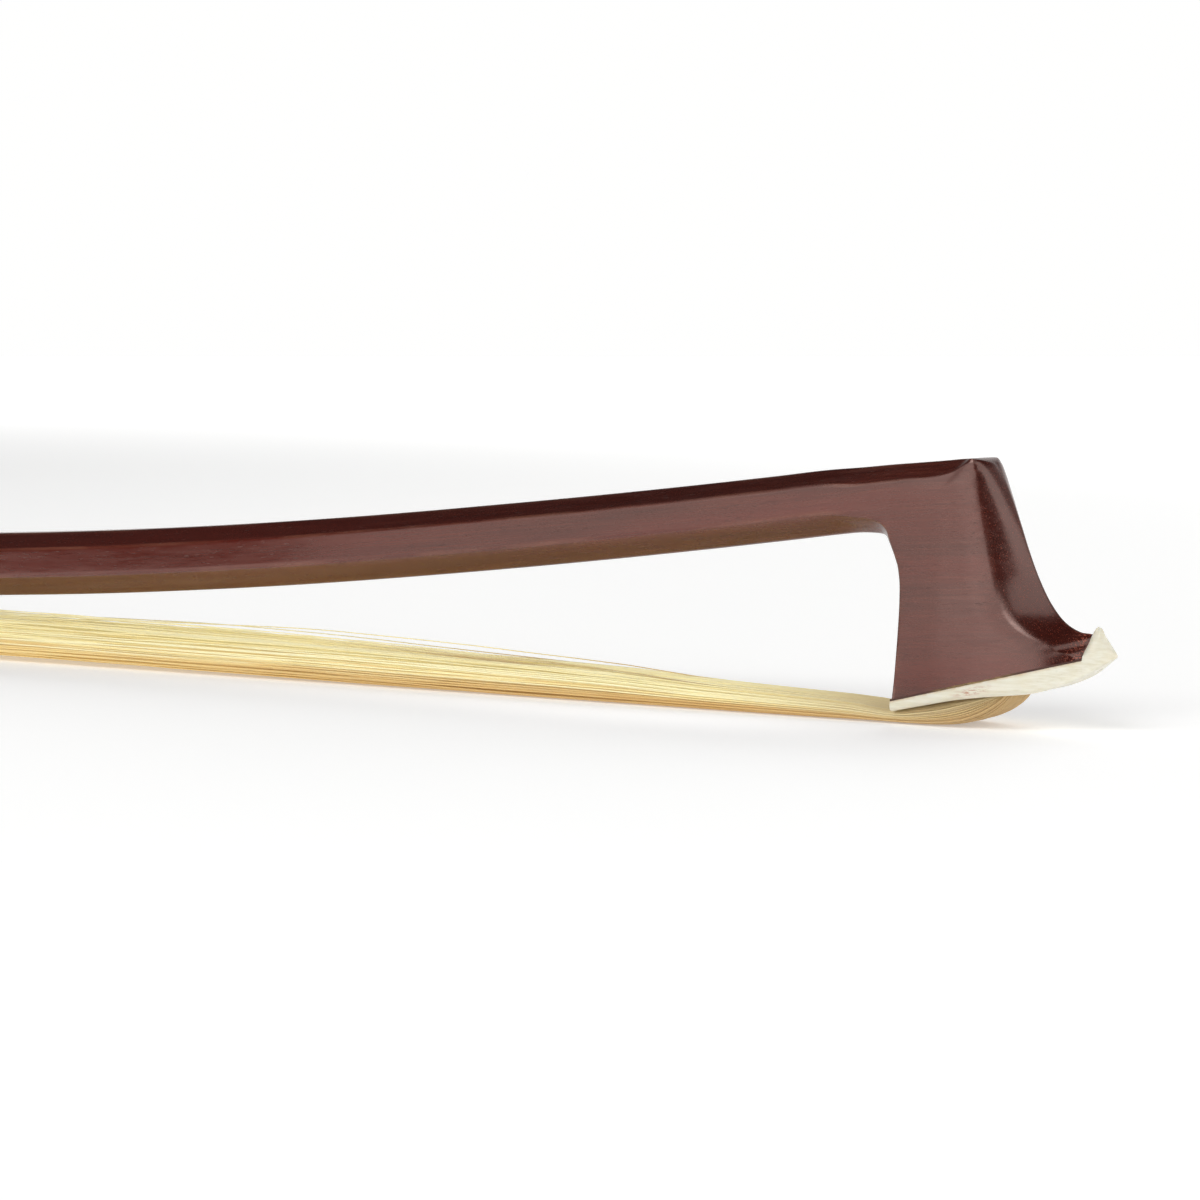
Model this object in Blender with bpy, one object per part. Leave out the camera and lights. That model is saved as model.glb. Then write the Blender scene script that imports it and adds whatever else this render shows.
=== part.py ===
"""A cello bow, slack, standing hair-down.

+X runs along the bow towards the head, +Z is up (the stick lies above the hair),
and the bow is the same on both sides of the plane Y = 0.  All dimensions below are
in millimetres; MM turns them into metres.  Along the stick, s is the distance from
the throat (the corner between stick and head) towards the handle.
"""

import math

import bmesh
import bpy
from mathutils import Matrix, Vector

MM = 0.001

# ---------------------------------------------------------------- stick
THROAT_X = 332.867         # X of the throat
THROAT_Z = 24.30           # height of the stick's axis above the throat
STICK_END = 674.0          # s at the butt of the stick
NIPPLE_R, NIPPLE_LENGTH = 3.4, 2.2

# downward slope of the axis at stations s: the camber bent into the stick
CAMBER = ((0, .138), (20, .124), (45, .1075), (60, .101), (75, .090), (90, .077),
          (105, .0645), (122, .048), (150, .034), (180, .022), (220, .009),
          (260, 0.0), (300, -.008), (340, -.0165), (420, -.031), (500, -.045),
          (560, -.053), (590, -.056), (800, -.056))

# width across the flats at stations s
TAPER = ((0, 7.02), (12, 7.10), (25, 7.25), (38, 7.40), (52, 7.55), (66, 7.65),
         (81, 7.78), (97, 7.88), (113, 8.00), (130, 8.08), (167, 8.35), (216, 8.70),
         (272, 9.05), (336, 9.40), (410, 9.80), (494, 10.10), (590, 10.40),
         (800, 10.40))

# ---------------------------------------------------------------- head
# Each row is one cross-section of the head, from the stick round to the face plate:
# its point on the back (s, z), its point on the front ridge (s, z), where the back
# bevel ends and the front chamfer starts (as fractions from back to front), and the
# half-widths at the back, along the cheek (three), at the chamfer and at the ridge.
HEAD = (
    ((4.5, 20.05), (4.0, 27.12), .33, .78, (1.15, 3.53, 3.53, 3.53, 3.53, 2.00)),
    ((2.2, 20.05), (0.8, 27.45), .31, .80, (1.30, 3.54, 3.54, 3.54, 3.54, 1.80)),
    ((0.9, 19.75), (-2.5, 27.74), .26, .83, (1.60, 3.56, 3.56, 3.56, 3.54, 1.50)),
    ((-0.1, 19.10), (-5.5, 28.00), .20, .87, (2.00, 3.60, 3.60, 3.60, 3.50, 1.10)),
    ((-0.75, 18.00), (-8.2, 28.27), .14, .92, (2.50, 3.66, 3.66, 3.66, 3.40, .60)),
    ((-1.20, 16.60), (-10.0, 28.33), .09, .95, (2.90, 3.72, 3.74, 3.70, 3.20, .20)),
    ((-1.38, 15.20), (-11.2, 27.20), .06, .93, (3.20, 3.78, 3.82, 3.78, 3.30, .14)),
    ((-1.43, 13.60), (-12.3, 24.70), .05, .90, (3.35, 3.82, 3.88, 3.84, 3.40, .12)),
    ((-1.40, 11.80), (-13.5, 21.60), .05, .87, (3.45, 3.90, 3.95, 3.92, 3.50, .12)),
    ((-1.30, 9.90), (-14.6, 18.50), .05, .84, (3.60, 4.02, 4.06, 4.02, 3.60, .12)),
    ((-1.15, 8.00), (-15.8, 15.60), .05, .80, (3.80, 4.20, 4.25, 4.20, 3.75, .14)),
    ((-1.05, 6.30), (-17.2, 13.10), .05, .76, (4.10, 4.45, 4.52, 4.48, 3.95, .18)),
    ((-0.95, 4.90), (-18.8, 11.30), .05, .715, (4.40, 4.75, 4.82, 4.78, 4.20, .25)),
    ((-0.85, 3.70), (-20.4, 10.40), .04, .68, (4.70, 4.98, 5.08, 5.06, 4.55, .45)),
    ((-0.82, 3.30), (-21.5, 10.10), .04, .66, (4.85, 5.08, 5.20, 5.20, 4.80, 1.20)),
    ((-0.80, 2.97), (-21.5, 8.12), .04, .66, (4.90, 5.12, 5.26, 5.28, 4.90, 2.10)),
)

SEAM_S, SEAM_Z = -0.95, 2.50   # back end of the face plate's upper side
SEAM_RISE = 0.25               # how much the face rises towards the beak
LINER_LOW, LINER_HIGH = 0.10, 0.38

# face plate: s, underside, upper side, half-width
PLATE = (
    (-0.95, 1.35, 2.50, 5.10), (-4.0, 2.05, 3.26, 5.32), (-8.0, 2.93, 4.26, 5.42),
    (-11.0, 3.40, 5.01, 5.36), (-14.0, 3.76, 5.76, 5.05), (-17.0, 4.15, 6.51, 4.25),
    (-19.5, 4.98, 7.14, 3.20), (-21.2, 5.72, 7.56, 2.35), (-21.66, 5.98, 7.68, 2.15),
    (-21.67, 5.98, 10.25, 2.14), (-22.6, 6.55, 10.92, 1.45), (-23.4, 7.15, 9.85, 0.95),
    (-24.5, 7.95, 8.25, 0.40),
)

# mortise in the head, in the face plate's own frame (p forward, n up from the seam):
# n, back p, front p, half-width at the back, half-width at the front
HEAD_MORTISE = ((-4.0, 3.4, 14.9, 4.3, 3.6), (0.8, 3.4, 14.9, 4.3, 3.6),
                (7.0, 4.2, 12.4, 3.4, 2.9))
HEAD_PLUG = ((-0.6, 3.7, 12.7, 4.0, 3.5), (3.3, 4.1, 11.4, 3.5, 3.0))
HEAD_KNOT = (4.9, 10.5, 5.15, 2.3, 1.0)      # p from, p to, n, half-width, half-height

# ---------------------------------------------------------------- handle and frog
# The handle's own frame has its origin on the stick's axis at s = 640; a runs
# towards the head and b away from the hair.
HANDLE_S = 640.0
FROG_FRONT, FROG_BACK = 25.0, -25.9
FROG_LIP = 16.2
FROG_UNDER = -20.60            # b of the frog's underside
CHANNEL_ROOF = -17.35
CHANNEL_HALF = 4.95
LINING_GAP, LINING_OUT = 0.15, 0.60
FROG_MORTISE = (-15.2, -3.8, 4.4, -10.8)     # a from, a to, half-width, b of the roof
FROG_PLUG_HALF = 4.1
FROG_PLUG = ((-4.1, -17.42), (-10.5, -17.42), (-12.3, -16.6), (-13.1, -15.5),
             (-12.7, -13.85), (-4.4, -13.85))
FROG_KNOT = (-11.0, -4.7, -12.3, 2.7, 0.95)
EYE_A, EYE_B = -5.0, -13.2
EYE_R, EYE_RING_IN, EYE_RING_OUT, EYE_POCKET = 3.30, 3.50, 4.40, 4.60
FERRULE_BACK = 10.4
FERRULE_WALL = 0.55
FERRULE_HALF, FERRULE_TOP = 7.20, -10.80
SLIDE = (-19.6, 10.2, 4.65)

SCREW_R, BORE_R, EYELET_HOLE_R = 1.50, 1.90, 1.75
SCREW_TIP, SCREW_END = 12.0, -48.0
BORE_TIP = 13.0
SLOT = (-10.6, 2.6, 2.90, 3.2)               # a from, a to, half-width, b of the roof
EYELET = (-4.0, 2.0, 2.60, -4.90, 2.60)
EYELET_SHANK_R, EYELET_SHANK_END = 1.5, -11.3

BUTTON_FRONT, BUTTON_END = -34.4, -50.0
BUTTON_FLAT = 5.60

WINDING = (540.0, 593.3, 0.12, 0.50)         # s from, s to, inner and outer offset
LEATHER = (594.0, 621.4, 0.12, 0.85)


# ---------------------------------------------------------------- rules
def table(rows, s):
    for (s0, v0), (s1, v1) in zip(rows, rows[1:]):
        if s <= s1:
            return v0 + (v1 - v0) * max(0.0, (s - s0) / (s1 - s0))
    return rows[-1][1]


def axis_height(s):
    """Height of the stick's axis: the camber's slope summed from the throat."""
    z = THROAT_Z
    for (s0, m0), (s1, m1) in zip(CAMBER, CAMBER[1:]):
        end = min(s, s1)
        if end <= s0:
            break
        m = m0 + (m1 - m0) * (end - s0) / (s1 - s0)
        z -= (m0 + m) / 2 * (end - s0)
    return z


def stick_line(s):
    """Underside point, topside point and width across flats at s."""
    slope, width = table(CAMBER, s), table(TAPER, s)
    k = width / 2 / math.hypot(1, slope)
    z = axis_height(s)
    return (s - slope * k, z - k), (s + slope * k, z + k), width


def side(s, z, y=0.0):
    return Vector((THROAT_X - s, y, z))


def mirrored_ring(low, high, rows):
    """Points of a closed section: rows are (fraction from low to high, half-width)."""
    a, b = Vector(low), Vector(high)
    half = [(a.lerp(b, f), y) for f, y in rows]
    ring = [side(p.x, p.y, y) for p, y in half]
    return ring + [side(p.x, p.y, -y) for p, y in reversed(half)]


def stick_ring(s, grow=0.0):
    low, high, width = stick_line(s)
    blend = min(1.0, max(0.0, (s - 20) / 230))
    under = .34 + (.293 - .34) * blend
    over = .22 + (.293 - .22) * blend
    if grow:
        scale = (width + 2 * grow) / width
        mid = (Vector(low) + Vector(high)) / 2
        low = tuple(mid + (Vector(low) - mid) * scale)
        high = tuple(mid + (Vector(high) - mid) * scale)
        width += 2 * grow
    half = width / 2
    return mirrored_ring(low, high, (
        (0, half - under * width), (under, half), (under + (1 - over - under) / 3, half),
        (under + (1 - over - under) * 2 / 3, half), (1 - over, half),
        (1 - over / 2, half - over * width / 2), (1, half - over * width)))


def octagon_ring(s, grow):
    """Eight corners round the stick, standing off its flats by grow."""
    low, high, width = stick_line(s)
    mid = (Vector(low) + Vector(high)) / 2
    up = (Vector(high) - mid).normalized()
    r = width / 2 + grow
    t = r * math.tan(math.pi / 8)
    ring = []
    for y, h in ((t, -r), (r, -t), (r, t), (t, r), (-t, r), (-r, t), (-r, -t), (-t, -r)):
        p = mid + up * h
        ring.append(side(p.x, p.y, y))
    return ring


def head_ring(row):
    back, front, f1, f4, (y0, y1, y2, y3, y4, y6) = row
    span = f4 - f1
    return mirrored_ring(back, front, (
        (0, y0), (f1, y1), (f1 + span / 3, y2), (f1 + span * 2 / 3, y3), (f4, y4),
        ((f4 + 1) / 2 - .004, (y4 + y6) / 2 * .94), (1, y6)))


# ---------------------------------------------------------------- modelling helpers
for old in list(bpy.data.objects):
    bpy.data.objects.remove(old, do_unlink=True)


def material(name, colour, roughness, metallic=0.0):
    m = bpy.data.materials.get(name)
    if m is None:
        m = bpy.data.materials.new(name)
        m.use_nodes = True
        shader = m.node_tree.nodes["Principled BSDF"]
        shader.inputs["Base Color"].default_value = (*colour, 1.0)
        shader.inputs["Roughness"].default_value = roughness
        shader.inputs["Metallic"].default_value = metallic
        m.diffuse_color = (*colour, 1.0)
    return m


def frame(name, location, tilt=0.0, parent=None):
    """An empty that carries the pieces of one sub-assembly."""
    empty = bpy.data.objects.new(name, None)
    bpy.context.collection.objects.link(empty)
    empty.location = Vector(location) * MM
    empty.rotation_euler = (0, tilt, 0)
    empty.parent = parent
    return empty


def solid(name, rings, mat, parent=None, origin=(0, 0, 0), closed=False, smooth=None):
    """One closed body lofted through rings that all have the same number of points."""
    bm = bmesh.new()
    shift = Vector(origin)
    loops = [[bm.verts.new((p - shift) * MM) for p in ring] for ring in rings]
    count = len(loops[0])
    pairs = list(zip(loops, loops[1:]))
    if closed:
        pairs.append((loops[-1], loops[0]))
    for one, two in pairs:
        for i in range(count):
            j = (i + 1) % count
            bm.faces.new((one[i], one[j], two[j], two[i]))
    if not closed:
        bm.faces.new(loops[0])
        bm.faces.new(loops[-1])
    bmesh.ops.recalc_face_normals(bm, faces=bm.faces)
    if bm.calc_volume(signed=True) < 0:
        bmesh.ops.reverse_faces(bm, faces=bm.faces)
    mesh = bpy.data.meshes.new(name)
    bm.to_mesh(mesh)
    bm.free()
    if smooth is not None:
        mesh.shade_smooth()
        mesh.set_sharp_from_angle(angle=math.radians(smooth))
    obj = bpy.data.objects.new(name, mesh)
    bpy.context.collection.objects.link(obj)
    obj.location = shift * MM
    obj.parent = parent
    if mat is not None:
        mesh.materials.append(mat)
    return obj


def extrude_y(name, outline, half, mat=None, parent=None, **more):
    """An outline in a and b, carried across the bow."""
    rings = [[Vector((a, y, b)) for a, b in outline] for y in (-half, half)]
    return solid(name, rings, mat, parent, **more)


def extrude_a(name, outline, start, end, mat=None, parent=None, **more):
    """An outline in y and b, carried along the handle."""
    rings = [[Vector((a, y, b)) for y, b in outline] for a in (start, end)]
    return solid(name, rings, mat, parent, **more)


def round_bar(name, direction, centre, radius, start, end, sides=16, mat=None,
              parent=None, **more):
    rings = []
    for d in (start, end):
        ring = []
        for i in range(sides):
            t = 2 * math.pi * (i + .5) / sides
            u, v = radius * math.cos(t), radius * math.sin(t)
            p = {"a": (d, u, v), "y": (u, d, v), "b": (u, v, d)}[direction]
            ring.append(Vector(p) + Vector(centre))
        rings.append(ring)
    return solid(name, rings, mat, parent, smooth=30, **more)


def cutter(obj):
    obj.hide_render = True
    obj.display_type = "WIRE"
    return obj


def combine(obj, operation, *others):
    for other in others:
        mod = obj.modifiers.new(operation.lower() + "_" + other.name, "BOOLEAN")
        mod.operation = operation
        mod.solver = "EXACT"
        mod.object = other
    return obj


def turned(a, radius, sides=16):
    """A round ring square to the handle."""
    return [Vector((a, radius * math.sin(math.pi / 8 + 2 * math.pi * i / sides),
                    -radius * math.cos(math.pi / 8 + 2 * math.pi * i / sides)))
            for i in range(sides)]


def faceted(a, flat, sides=16):
    """An eight-sided ring square to the handle, with as many points as turned()."""
    ring = []
    for i in range(sides):
        t = math.pi / 8 + 2 * math.pi * i / sides
        r = flat / math.cos(math.pi / 8) if i % 2 == 0 else flat
        ring.append(Vector((a, r * math.sin(t), -r * math.cos(t))))
    return ring


# ---------------------------------------------------------------- materials
pernambuco = material("pernambuco", (.165, .050, .036), .38)
plate_white = material("plate_white", (.84, .82, .73), .35)
veneer = material("veneer", (.42, .27, .10), .55)
willow = material("willow", (.66, .50, .30), .65)
horse_hair = material("horse_hair", (.80, .70, .45), .50)
knot_dark = material("burnt_hair", (.20, .13, .06), .60)
thread = material("thread", (.70, .62, .50), .80)
ebony = material("ebony", (.018, .016, .015), .35)
silver = material("silver", (.80, .79, .76), .28, 1.0)
pearl = material("mother_of_pearl", (.78, .80, .78), .20)
brass = material("brass", (.76, .56, .22), .30, 1.0)
steel = material("steel", (.55, .55, .56), .32, 1.0)
leather = material("leather", (.040, .026, .020), .60)

# ---------------------------------------------------------------- frames
tilt = math.atan(-table(CAMBER, HANDLE_S))
handle_point = side(HANDLE_S, axis_height(HANDLE_S))
handle = frame("handle_frame", handle_point, tilt)
frog = frame("frog_frame", (0, 0, 0), 0.0, handle)
turning = frame("screw_axis", (0, 0, 0), 0.0, handle)
face_tilt = -math.atan(SEAM_RISE)
face = frame("face_frame", side(SEAM_S, SEAM_Z), face_tilt)

# the ferrule's lower front edge stands on the ground
FERRULE_UNDER = -(handle_point.z - FROG_FRONT * math.sin(tilt)) / math.cos(tilt)


def from_handle(a, b):
    """(a, b) in the handle's frame, as (s, z)."""
    x = handle_point.x + a * math.cos(tilt) + b * math.sin(tilt)
    return THROAT_X - x, handle_point.z - a * math.sin(tilt) + b * math.cos(tilt)


def from_face(p, n):
    """(p, n) in the face plate's frame, as (s, z)."""
    t = math.atan(SEAM_RISE)
    return (SEAM_S - (p * math.cos(t) - n * math.sin(t)),
            SEAM_Z + p * math.sin(t) + n * math.cos(t))


# ---------------------------------------------------------------- stick and head
rings = [head_ring(row) for row in reversed(HEAD)]
stations = [8, 14, 21, 29, 38, 48, 59, 71, 84, 97, 110, 124, 138, 152, 167, 183, 200,
            218, 237, 257, 278, 300, 323, 347, 372, 398, 425, 452, 480, 508, 536, 563,
            590, STICK_END]
rings += [stick_ring(s) for s in stations]


def round_end(s, radius, count=14):
    """The butt's round nipple, with the section's number of points."""
    low, high, _ = stick_line(STICK_END)
    mid = (Vector(low) + Vector(high)) / 2
    up = (Vector(high) - mid).normalized()
    along = Vector((up.y, -up.x))
    centre = mid + along * (s - STICK_END)
    ring = []
    for i in range(count):
        t = 2 * math.pi * (i + .5) / count
        p = centre - up * radius * math.cos(t)
        ring.append(side(p.x, p.y, radius * math.sin(t)))
    return ring


rings += [round_end(STICK_END, NIPPLE_R), round_end(STICK_END + NIPPLE_LENGTH, NIPPLE_R)]
stick = solid("stick", rings, pernambuco, origin=side(0, THROAT_Z), smooth=12)


def face_block(name, levels, mat=None, parent=face):
    """A block or pocket in the face plate's frame, from rows of HEAD_MORTISE's kind."""
    loops = []
    for n, back, front, wide_back, wide_front in levels:
        loops.append([Vector((back, wide_back, n)), Vector((front, wide_front, n)),
                      Vector((front, -wide_front, n)), Vector((back, -wide_back, n))])
    return solid(name, loops, mat, parent)


mortise = cutter(face_block("head_mortise_cut", HEAD_MORTISE))
bore = cutter(round_bar("screw_bore_cut", "a", (0, 0, 0), BORE_R, -60, BORE_TIP,
                        parent=turning))
slot = cutter(extrude_y("eyelet_slot_cut", ((SLOT[0], -8), (SLOT[1], -8),
                                            (SLOT[1], SLOT[3]), (SLOT[0], SLOT[3])),
                        SLOT[2], parent=handle))
combine(stick, "DIFFERENCE", mortise, bore, slot)

# ---------------------------------------------------------------- face plate
rings = []
for s, low, high, half in PLATE:
    inner = half * .93
    rings.append([side(s, low, -inner * .96), side(s, low + (high - low) * .35, -half),
                  side(s, high, -half), side(s, high, half),
                  side(s, low + (high - low) * .35, half), side(s, low, inner * .96)])
head_plate = solid("head_plate", rings, plate_white, origin=side(SEAM_S, SEAM_Z))
combine(head_plate, "DIFFERENCE", mortise)

rings = []
for s, low, high, half in PLATE[:9]:
    z = SEAM_Z + SEAM_RISE * (SEAM_S - s)
    s = max(s, -21.45)
    w = half * .985
    rings.append([side(s, z + LINER_LOW, -w), side(s, z + LINER_HIGH, -w),
                  side(s, z + LINER_HIGH, w), side(s, z + LINER_LOW, w)])
rings = rings[:8] + rings[8:9]
head_plate_liner = solid("head_plate_liner", rings, veneer, origin=side(SEAM_S, SEAM_Z))
combine(head_plate_liner, "DIFFERENCE", mortise)

face_block("head_plug", HEAD_PLUG, willow)


def knot(name, start, end, level, wide, high, mat, parent, swap, hole=None, sides=12):
    """An oval bundle of hair ends, or the thread round it where hole is its inner gap."""
    def oval(d, w, h):
        ring = []
        for i in range(sides):
            t = 2 * math.pi * (i + .5) / sides
            ring.append(Vector((d, w * math.cos(t), level + h * math.sin(t))))
        return ring
    if hole is None:
        loops = [oval(start, wide * .8, high * .8), oval(start + swap * .5, wide, high),
                 oval(end - swap * .5, wide, high), oval(end, wide * .8, high * .8)]
        return solid(name, loops, mat, parent, smooth=40)
    loops = [oval(start, wide, high), oval(end, wide, high),
             oval(end, wide - hole, high - hole), oval(start, wide - hole, high - hole)]
    return solid(name, loops, mat, parent, closed=True, smooth=40)


k = HEAD_KNOT
knot("head_hair_knot", k[0], k[1], k[2], k[3], k[4], knot_dark, face, 1)
knot("head_knot_thread", k[0] + 1.6, k[0] + 3.8, k[2], k[3] + .5, k[4] + .5, thread, face,
     1, hole=.35)

# ---------------------------------------------------------------- hair
# the ribbon's middle line as (s, z, thickness, half-width): out of the head's mortise,
# round the slack loop under the face plate, along under the stick, through the ferrule
# and the frog's channel, and up into the frog's mortise
ribbon = []
for p, n, thick, half in ((10.9, 5.2, 1.0, 2.3), (11.9, 4.75, 1.0, 2.5),
                          (12.65, 3.7, 1.0, 2.9), (13.2, 2.3, 1.05, 3.1),
                          (13.75, .8, 1.1, 3.25), (13.95, -.8, 1.1, 3.3)):
    ribbon.append((*from_face(p, n), thick, half))
ribbon += [(-14.75, 3.15, 1.15, 3.5), (-13.7, 2.05, 1.2, 3.7), (-11.9, 1.25, 1.2, 3.9),
           (-9.6, .82, 1.2, 4.0), (-6.8, .63, 1.18, 4.1), (-4.0, .59, 1.14, 4.15),
           (-1.6, .57, 1.12, 4.2), (0.4, .70, 1.36, 4.22), (4.0, .98, 1.92, 4.25)]
# between head and frog: s, underside, upper side
SPAN = ((10, 0.01, 2.25), (23, 0.02, 2.75), (36, .04, 3.45), (50, .06, 3.80),
        (64, .12, 4.15), (78, .22, 4.50), (94, .35, 4.75), (110, .45, 5.05),
        (126, .55, 5.25), (145, .60, 5.15), (170, .60, 4.75), (200, .60, 4.35),
        (260, .50, 3.90), (320, .40, 3.70), (400, .30, 3.40), (480, .30, 3.05),
        (550, .40, 2.65), (590, .58, 2.35))
for s, low, high in SPAN:
    ribbon.append((s, (low + high) / 2, high - low, 4.25 + (5.6 - 4.25) * s / 615))
for a, low, high, half in ((26.5, -20.52, -19.22, 5.6), (24.0, -20.46, -19.18, 5.6),
                           (20.0, -20.22, -18.98, 5.5), (16.0, -19.80, -18.58, 5.2),
                           (13.0, -19.32, -18.12, 4.8), (10.6, -18.98, -17.78, 4.6),
                           (8.0, -18.90, -17.70, 4.55), (-9.0, -18.90, -17.70, 4.4)):
    ribbon.append((*from_handle(a, (low + high) / 2), high - low, half))
for a, b, thick, half in ((-11.6, -18.15, 1.15, 4.1), (-13.3, -17.45, 1.1, 4.0),
                          (-14.2, -16.2, 1.1, 3.9), (-14.25, -14.7, 1.1, 3.5),
                          (-13.6, -13.3, 1.0, 3.0), (-12.5, -12.45, 1.0, 2.6),
                          (-11.4, -12.3, 1.0, 2.4)):
    ribbon.append((*from_handle(a, b), thick, half))

rings = []
for i, (s, z, thick, half) in enumerate(ribbon):
    before, after = ribbon[max(0, i - 1)], ribbon[min(len(ribbon) - 1, i + 1)]
    run = Vector((after[0] - before[0], after[1] - before[1])).normalized()
    out = Vector((-run.y, run.x)) * thick / 2
    low, high = (s - out.x, z - out.y), (s + out.x, z + out.y)
    rings.append(mirrored_ring(low, high, ((0, half * .86), (.3, half), (.7, half),
                                           (1, half * .86))))
solid("hair_ribbon", rings, horse_hair, origin=side(0, THROAT_Z), smooth=40)

# ---------------------------------------------------------------- frog
REACH = 9.0
sides_of_frog = ((-6.72, FROG_UNDER - 1), (6.72, FROG_UNDER - 1), (6.70, -19.6),
                 (6.28, -14.0), (5.92, -8.0), (5.60, -2.0), (5.60, 1.0), (-5.60, 1.0),
                 (-5.60, -2.0), (-5.92, -8.0), (-6.28, -14.0), (-6.70, -19.6))
frog_body = extrude_y("frog_body", (
    (-25.1, -19.8), (-25.1, -8.35), (FROG_BACK, -8.35), (FROG_BACK, -2.0),
    (FROG_LIP, -2.0), (FROG_LIP, -7.0), (12.5, -7.4), (9.6, -8.0), (7.6, -8.9),
    (6.7, -9.9), (6.8, -10.9), (7.6, -11.6), (8.8, -11.85), (10.2, -11.9),
    (10.2, FROG_UNDER), (-19.9, FROG_UNDER), (-19.9, -19.8)), REACH, ebony, frog)


def d_outline(inset, under=None):
    """The ferrule's D, pulled in by inset, as points in y and b."""
    half = FERRULE_HALF - inset
    low = FERRULE_UNDER + inset if under is None else under
    spring = -16.6
    rise = FERRULE_TOP - inset - spring
    points = [(-half * .97, low), (half * .97, low), (half, low + .5)]
    for i in range(13):
        t = math.pi * i / 12
        points.append((half * math.cos(t), spring + rise * math.sin(t) ** .85))
    points.append((-half, low + .5))
    return points


tongue = cutter(extrude_a("tongue_form", d_outline(FERRULE_WALL + .25, CHANNEL_ROOF), 6.0,
                          FROG_FRONT - .5, parent=frog))
flanks = cutter(extrude_a("flank_form", sides_of_frog, -30, 30, parent=frog))


def trough(grow):
    """The stick's three lower flats, standing off by grow, as an outline for a cut."""
    r = table(TAPER, HANDLE_S) / 2 + grow
    t = r * math.tan(math.pi / 8)
    return ((-t, -r), (t, -r), (r, -t), (r, 3), (-r, 3), (-r, -t))


trough_cut = cutter(extrude_a("trough_cut", trough(LINING_OUT + .15), -31, 31,
                              parent=frog))
channel_cut = cutter(extrude_a("channel_cut", (
    (-CHANNEL_HALF, -24), (CHANNEL_HALF, -24), (CHANNEL_HALF, CHANNEL_ROOF),
    (-CHANNEL_HALF, CHANNEL_ROOF)), -21.5, 14.0, parent=frog))
m = FROG_MORTISE
pocket_cut = cutter(extrude_y("frog_mortise_cut", ((m[0], -19), (m[1], -19),
                                                   (m[1], m[3]), (m[0], m[3])), m[2],
                              parent=frog))
shank_cut = cutter(round_bar("eyelet_shank_cut", "b", ((EYELET[0] + EYELET[1]) / 2, 0, 0),
                             EYELET_SHANK_R + .3, -11.8, -3.0, parent=frog))
eye_cuts = [cutter(round_bar("eye_cut_" + word, "y", (EYE_A, 0, EYE_B), EYE_POCKET,
                             sign * 4.95, sign * 9.5, sides=20, parent=frog))
            for word, sign in (("left", 1), ("right", -1))]
PIN_R, PIN_GAP = 0.45, 0.2
lining_pins = (("front", 10.6, -6.95), ("rear", -21.0, -9.5))
lining_pin_cuts = [cutter(round_bar("lining_pin_cut_" + word, "b", (a, 0, 0),
                                    PIN_R + PIN_GAP, tip - .2, -3.0, sides=8,
                                    parent=frog))
                   for word, a, tip in lining_pins]
heel_pins = (("left", 3.6), ("right", -3.6))
heel_pin_cuts = [cutter(round_bar("heel_pin_cut_" + word, "b", (-23.4, y, 0),
                                  PIN_R + PIN_GAP, -22.0, -16.2, sides=8, parent=frog))
                 for word, y in heel_pins]

combine(frog_body, "INTERSECT", flanks)
combine(frog_body, "UNION", tongue)
combine(frog_body, "DIFFERENCE", trough_cut, channel_cut, pocket_cut, shank_cut,
        *eye_cuts, *lining_pin_cuts, *heel_pin_cuts)

heel_plate = extrude_y("heel_plate", ((-25.95, FROG_UNDER), (-20.05, FROG_UNDER),
                                      (-20.05, -19.95), (-25.28, -19.95),
                                      (-25.28, -8.5), (-25.95, -8.5)), REACH, silver,
                       frog)
combine(heel_plate, "INTERSECT", flanks)
combine(heel_plate, "DIFFERENCE", *heel_pin_cuts)
for word, y in heel_pins:
    round_bar("heel_pin_" + word, "b", (-23.4, y, 0), PIN_R, FROG_UNDER + .02, -16.6,
              sides=8, mat=silver, parent=frog)


def lining(inner, outer, edge=5.30):
    def flats(grow):
        r = table(TAPER, HANDLE_S) / 2 + grow
        t = r * math.tan(math.pi / 8)
        return [(-edge, edge - math.sqrt(2) * r), (-t, -r), (t, -r),
                (edge, edge - math.sqrt(2) * r)]
    return flats(inner) + flats(outer)[::-1]


underslide = extrude_a("underslide", lining(LINING_GAP, LINING_OUT), -25.6, FROG_LIP - .1,
                       silver, frog)
combine(underslide, "DIFFERENCE", shank_cut, *lining_pin_cuts)
for word, a, tip in lining_pins:
    round_bar("underslide_pin_" + word, "b", (a, 0, 0), PIN_R, tip, -5.42, sides=8,
              mat=silver, parent=frog)

rings = [[Vector((a, y, b)) for y, b in d_outline(inset)] for a, inset in
         ((FERRULE_BACK, 0), (FROG_FRONT, 0), (FROG_FRONT, FERRULE_WALL),
          (FERRULE_BACK, FERRULE_WALL))]
solid("ferrule", rings, silver, frog, closed=True, smooth=30)

rings = [[Vector((a, -w, low)), Vector((a, w, low)), Vector((a, w, -17.5)),
          Vector((a, -w, -17.5))] for a, w, low in ((24.6, 5.5, -18.98), (16.6, 5.1, -18.3))]
solid("ferrule_wedge", rings, willow, frog)

extrude_a("slide_base", ((-SLIDE[2], -19.75), (SLIDE[2], -19.75), (SLIDE[2] + .12, -19.1),
                         (-SLIDE[2] - .12, -19.1)), SLIDE[0], SLIDE[1], ebony, frog)
extrude_a("pearl_slide", ((-SLIDE[2] + .1, -20.55), (SLIDE[2] - .1, -20.55),
                          (SLIDE[2], -19.87), (-SLIDE[2], -19.87)), SLIDE[0], SLIDE[1],
          pearl, frog)

extrude_y("frog_plug", FROG_PLUG, FROG_PLUG_HALF, willow, frog)
k = FROG_KNOT
knot("frog_hair_knot", k[0], k[1], k[2], k[3], k[4], knot_dark, frog, 1)
knot("frog_knot_thread", k[1] - 4.0, k[1] - 1.8, k[2], k[3] + .5, k[4] + .42, thread,
     frog, 1, hole=.3)

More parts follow.
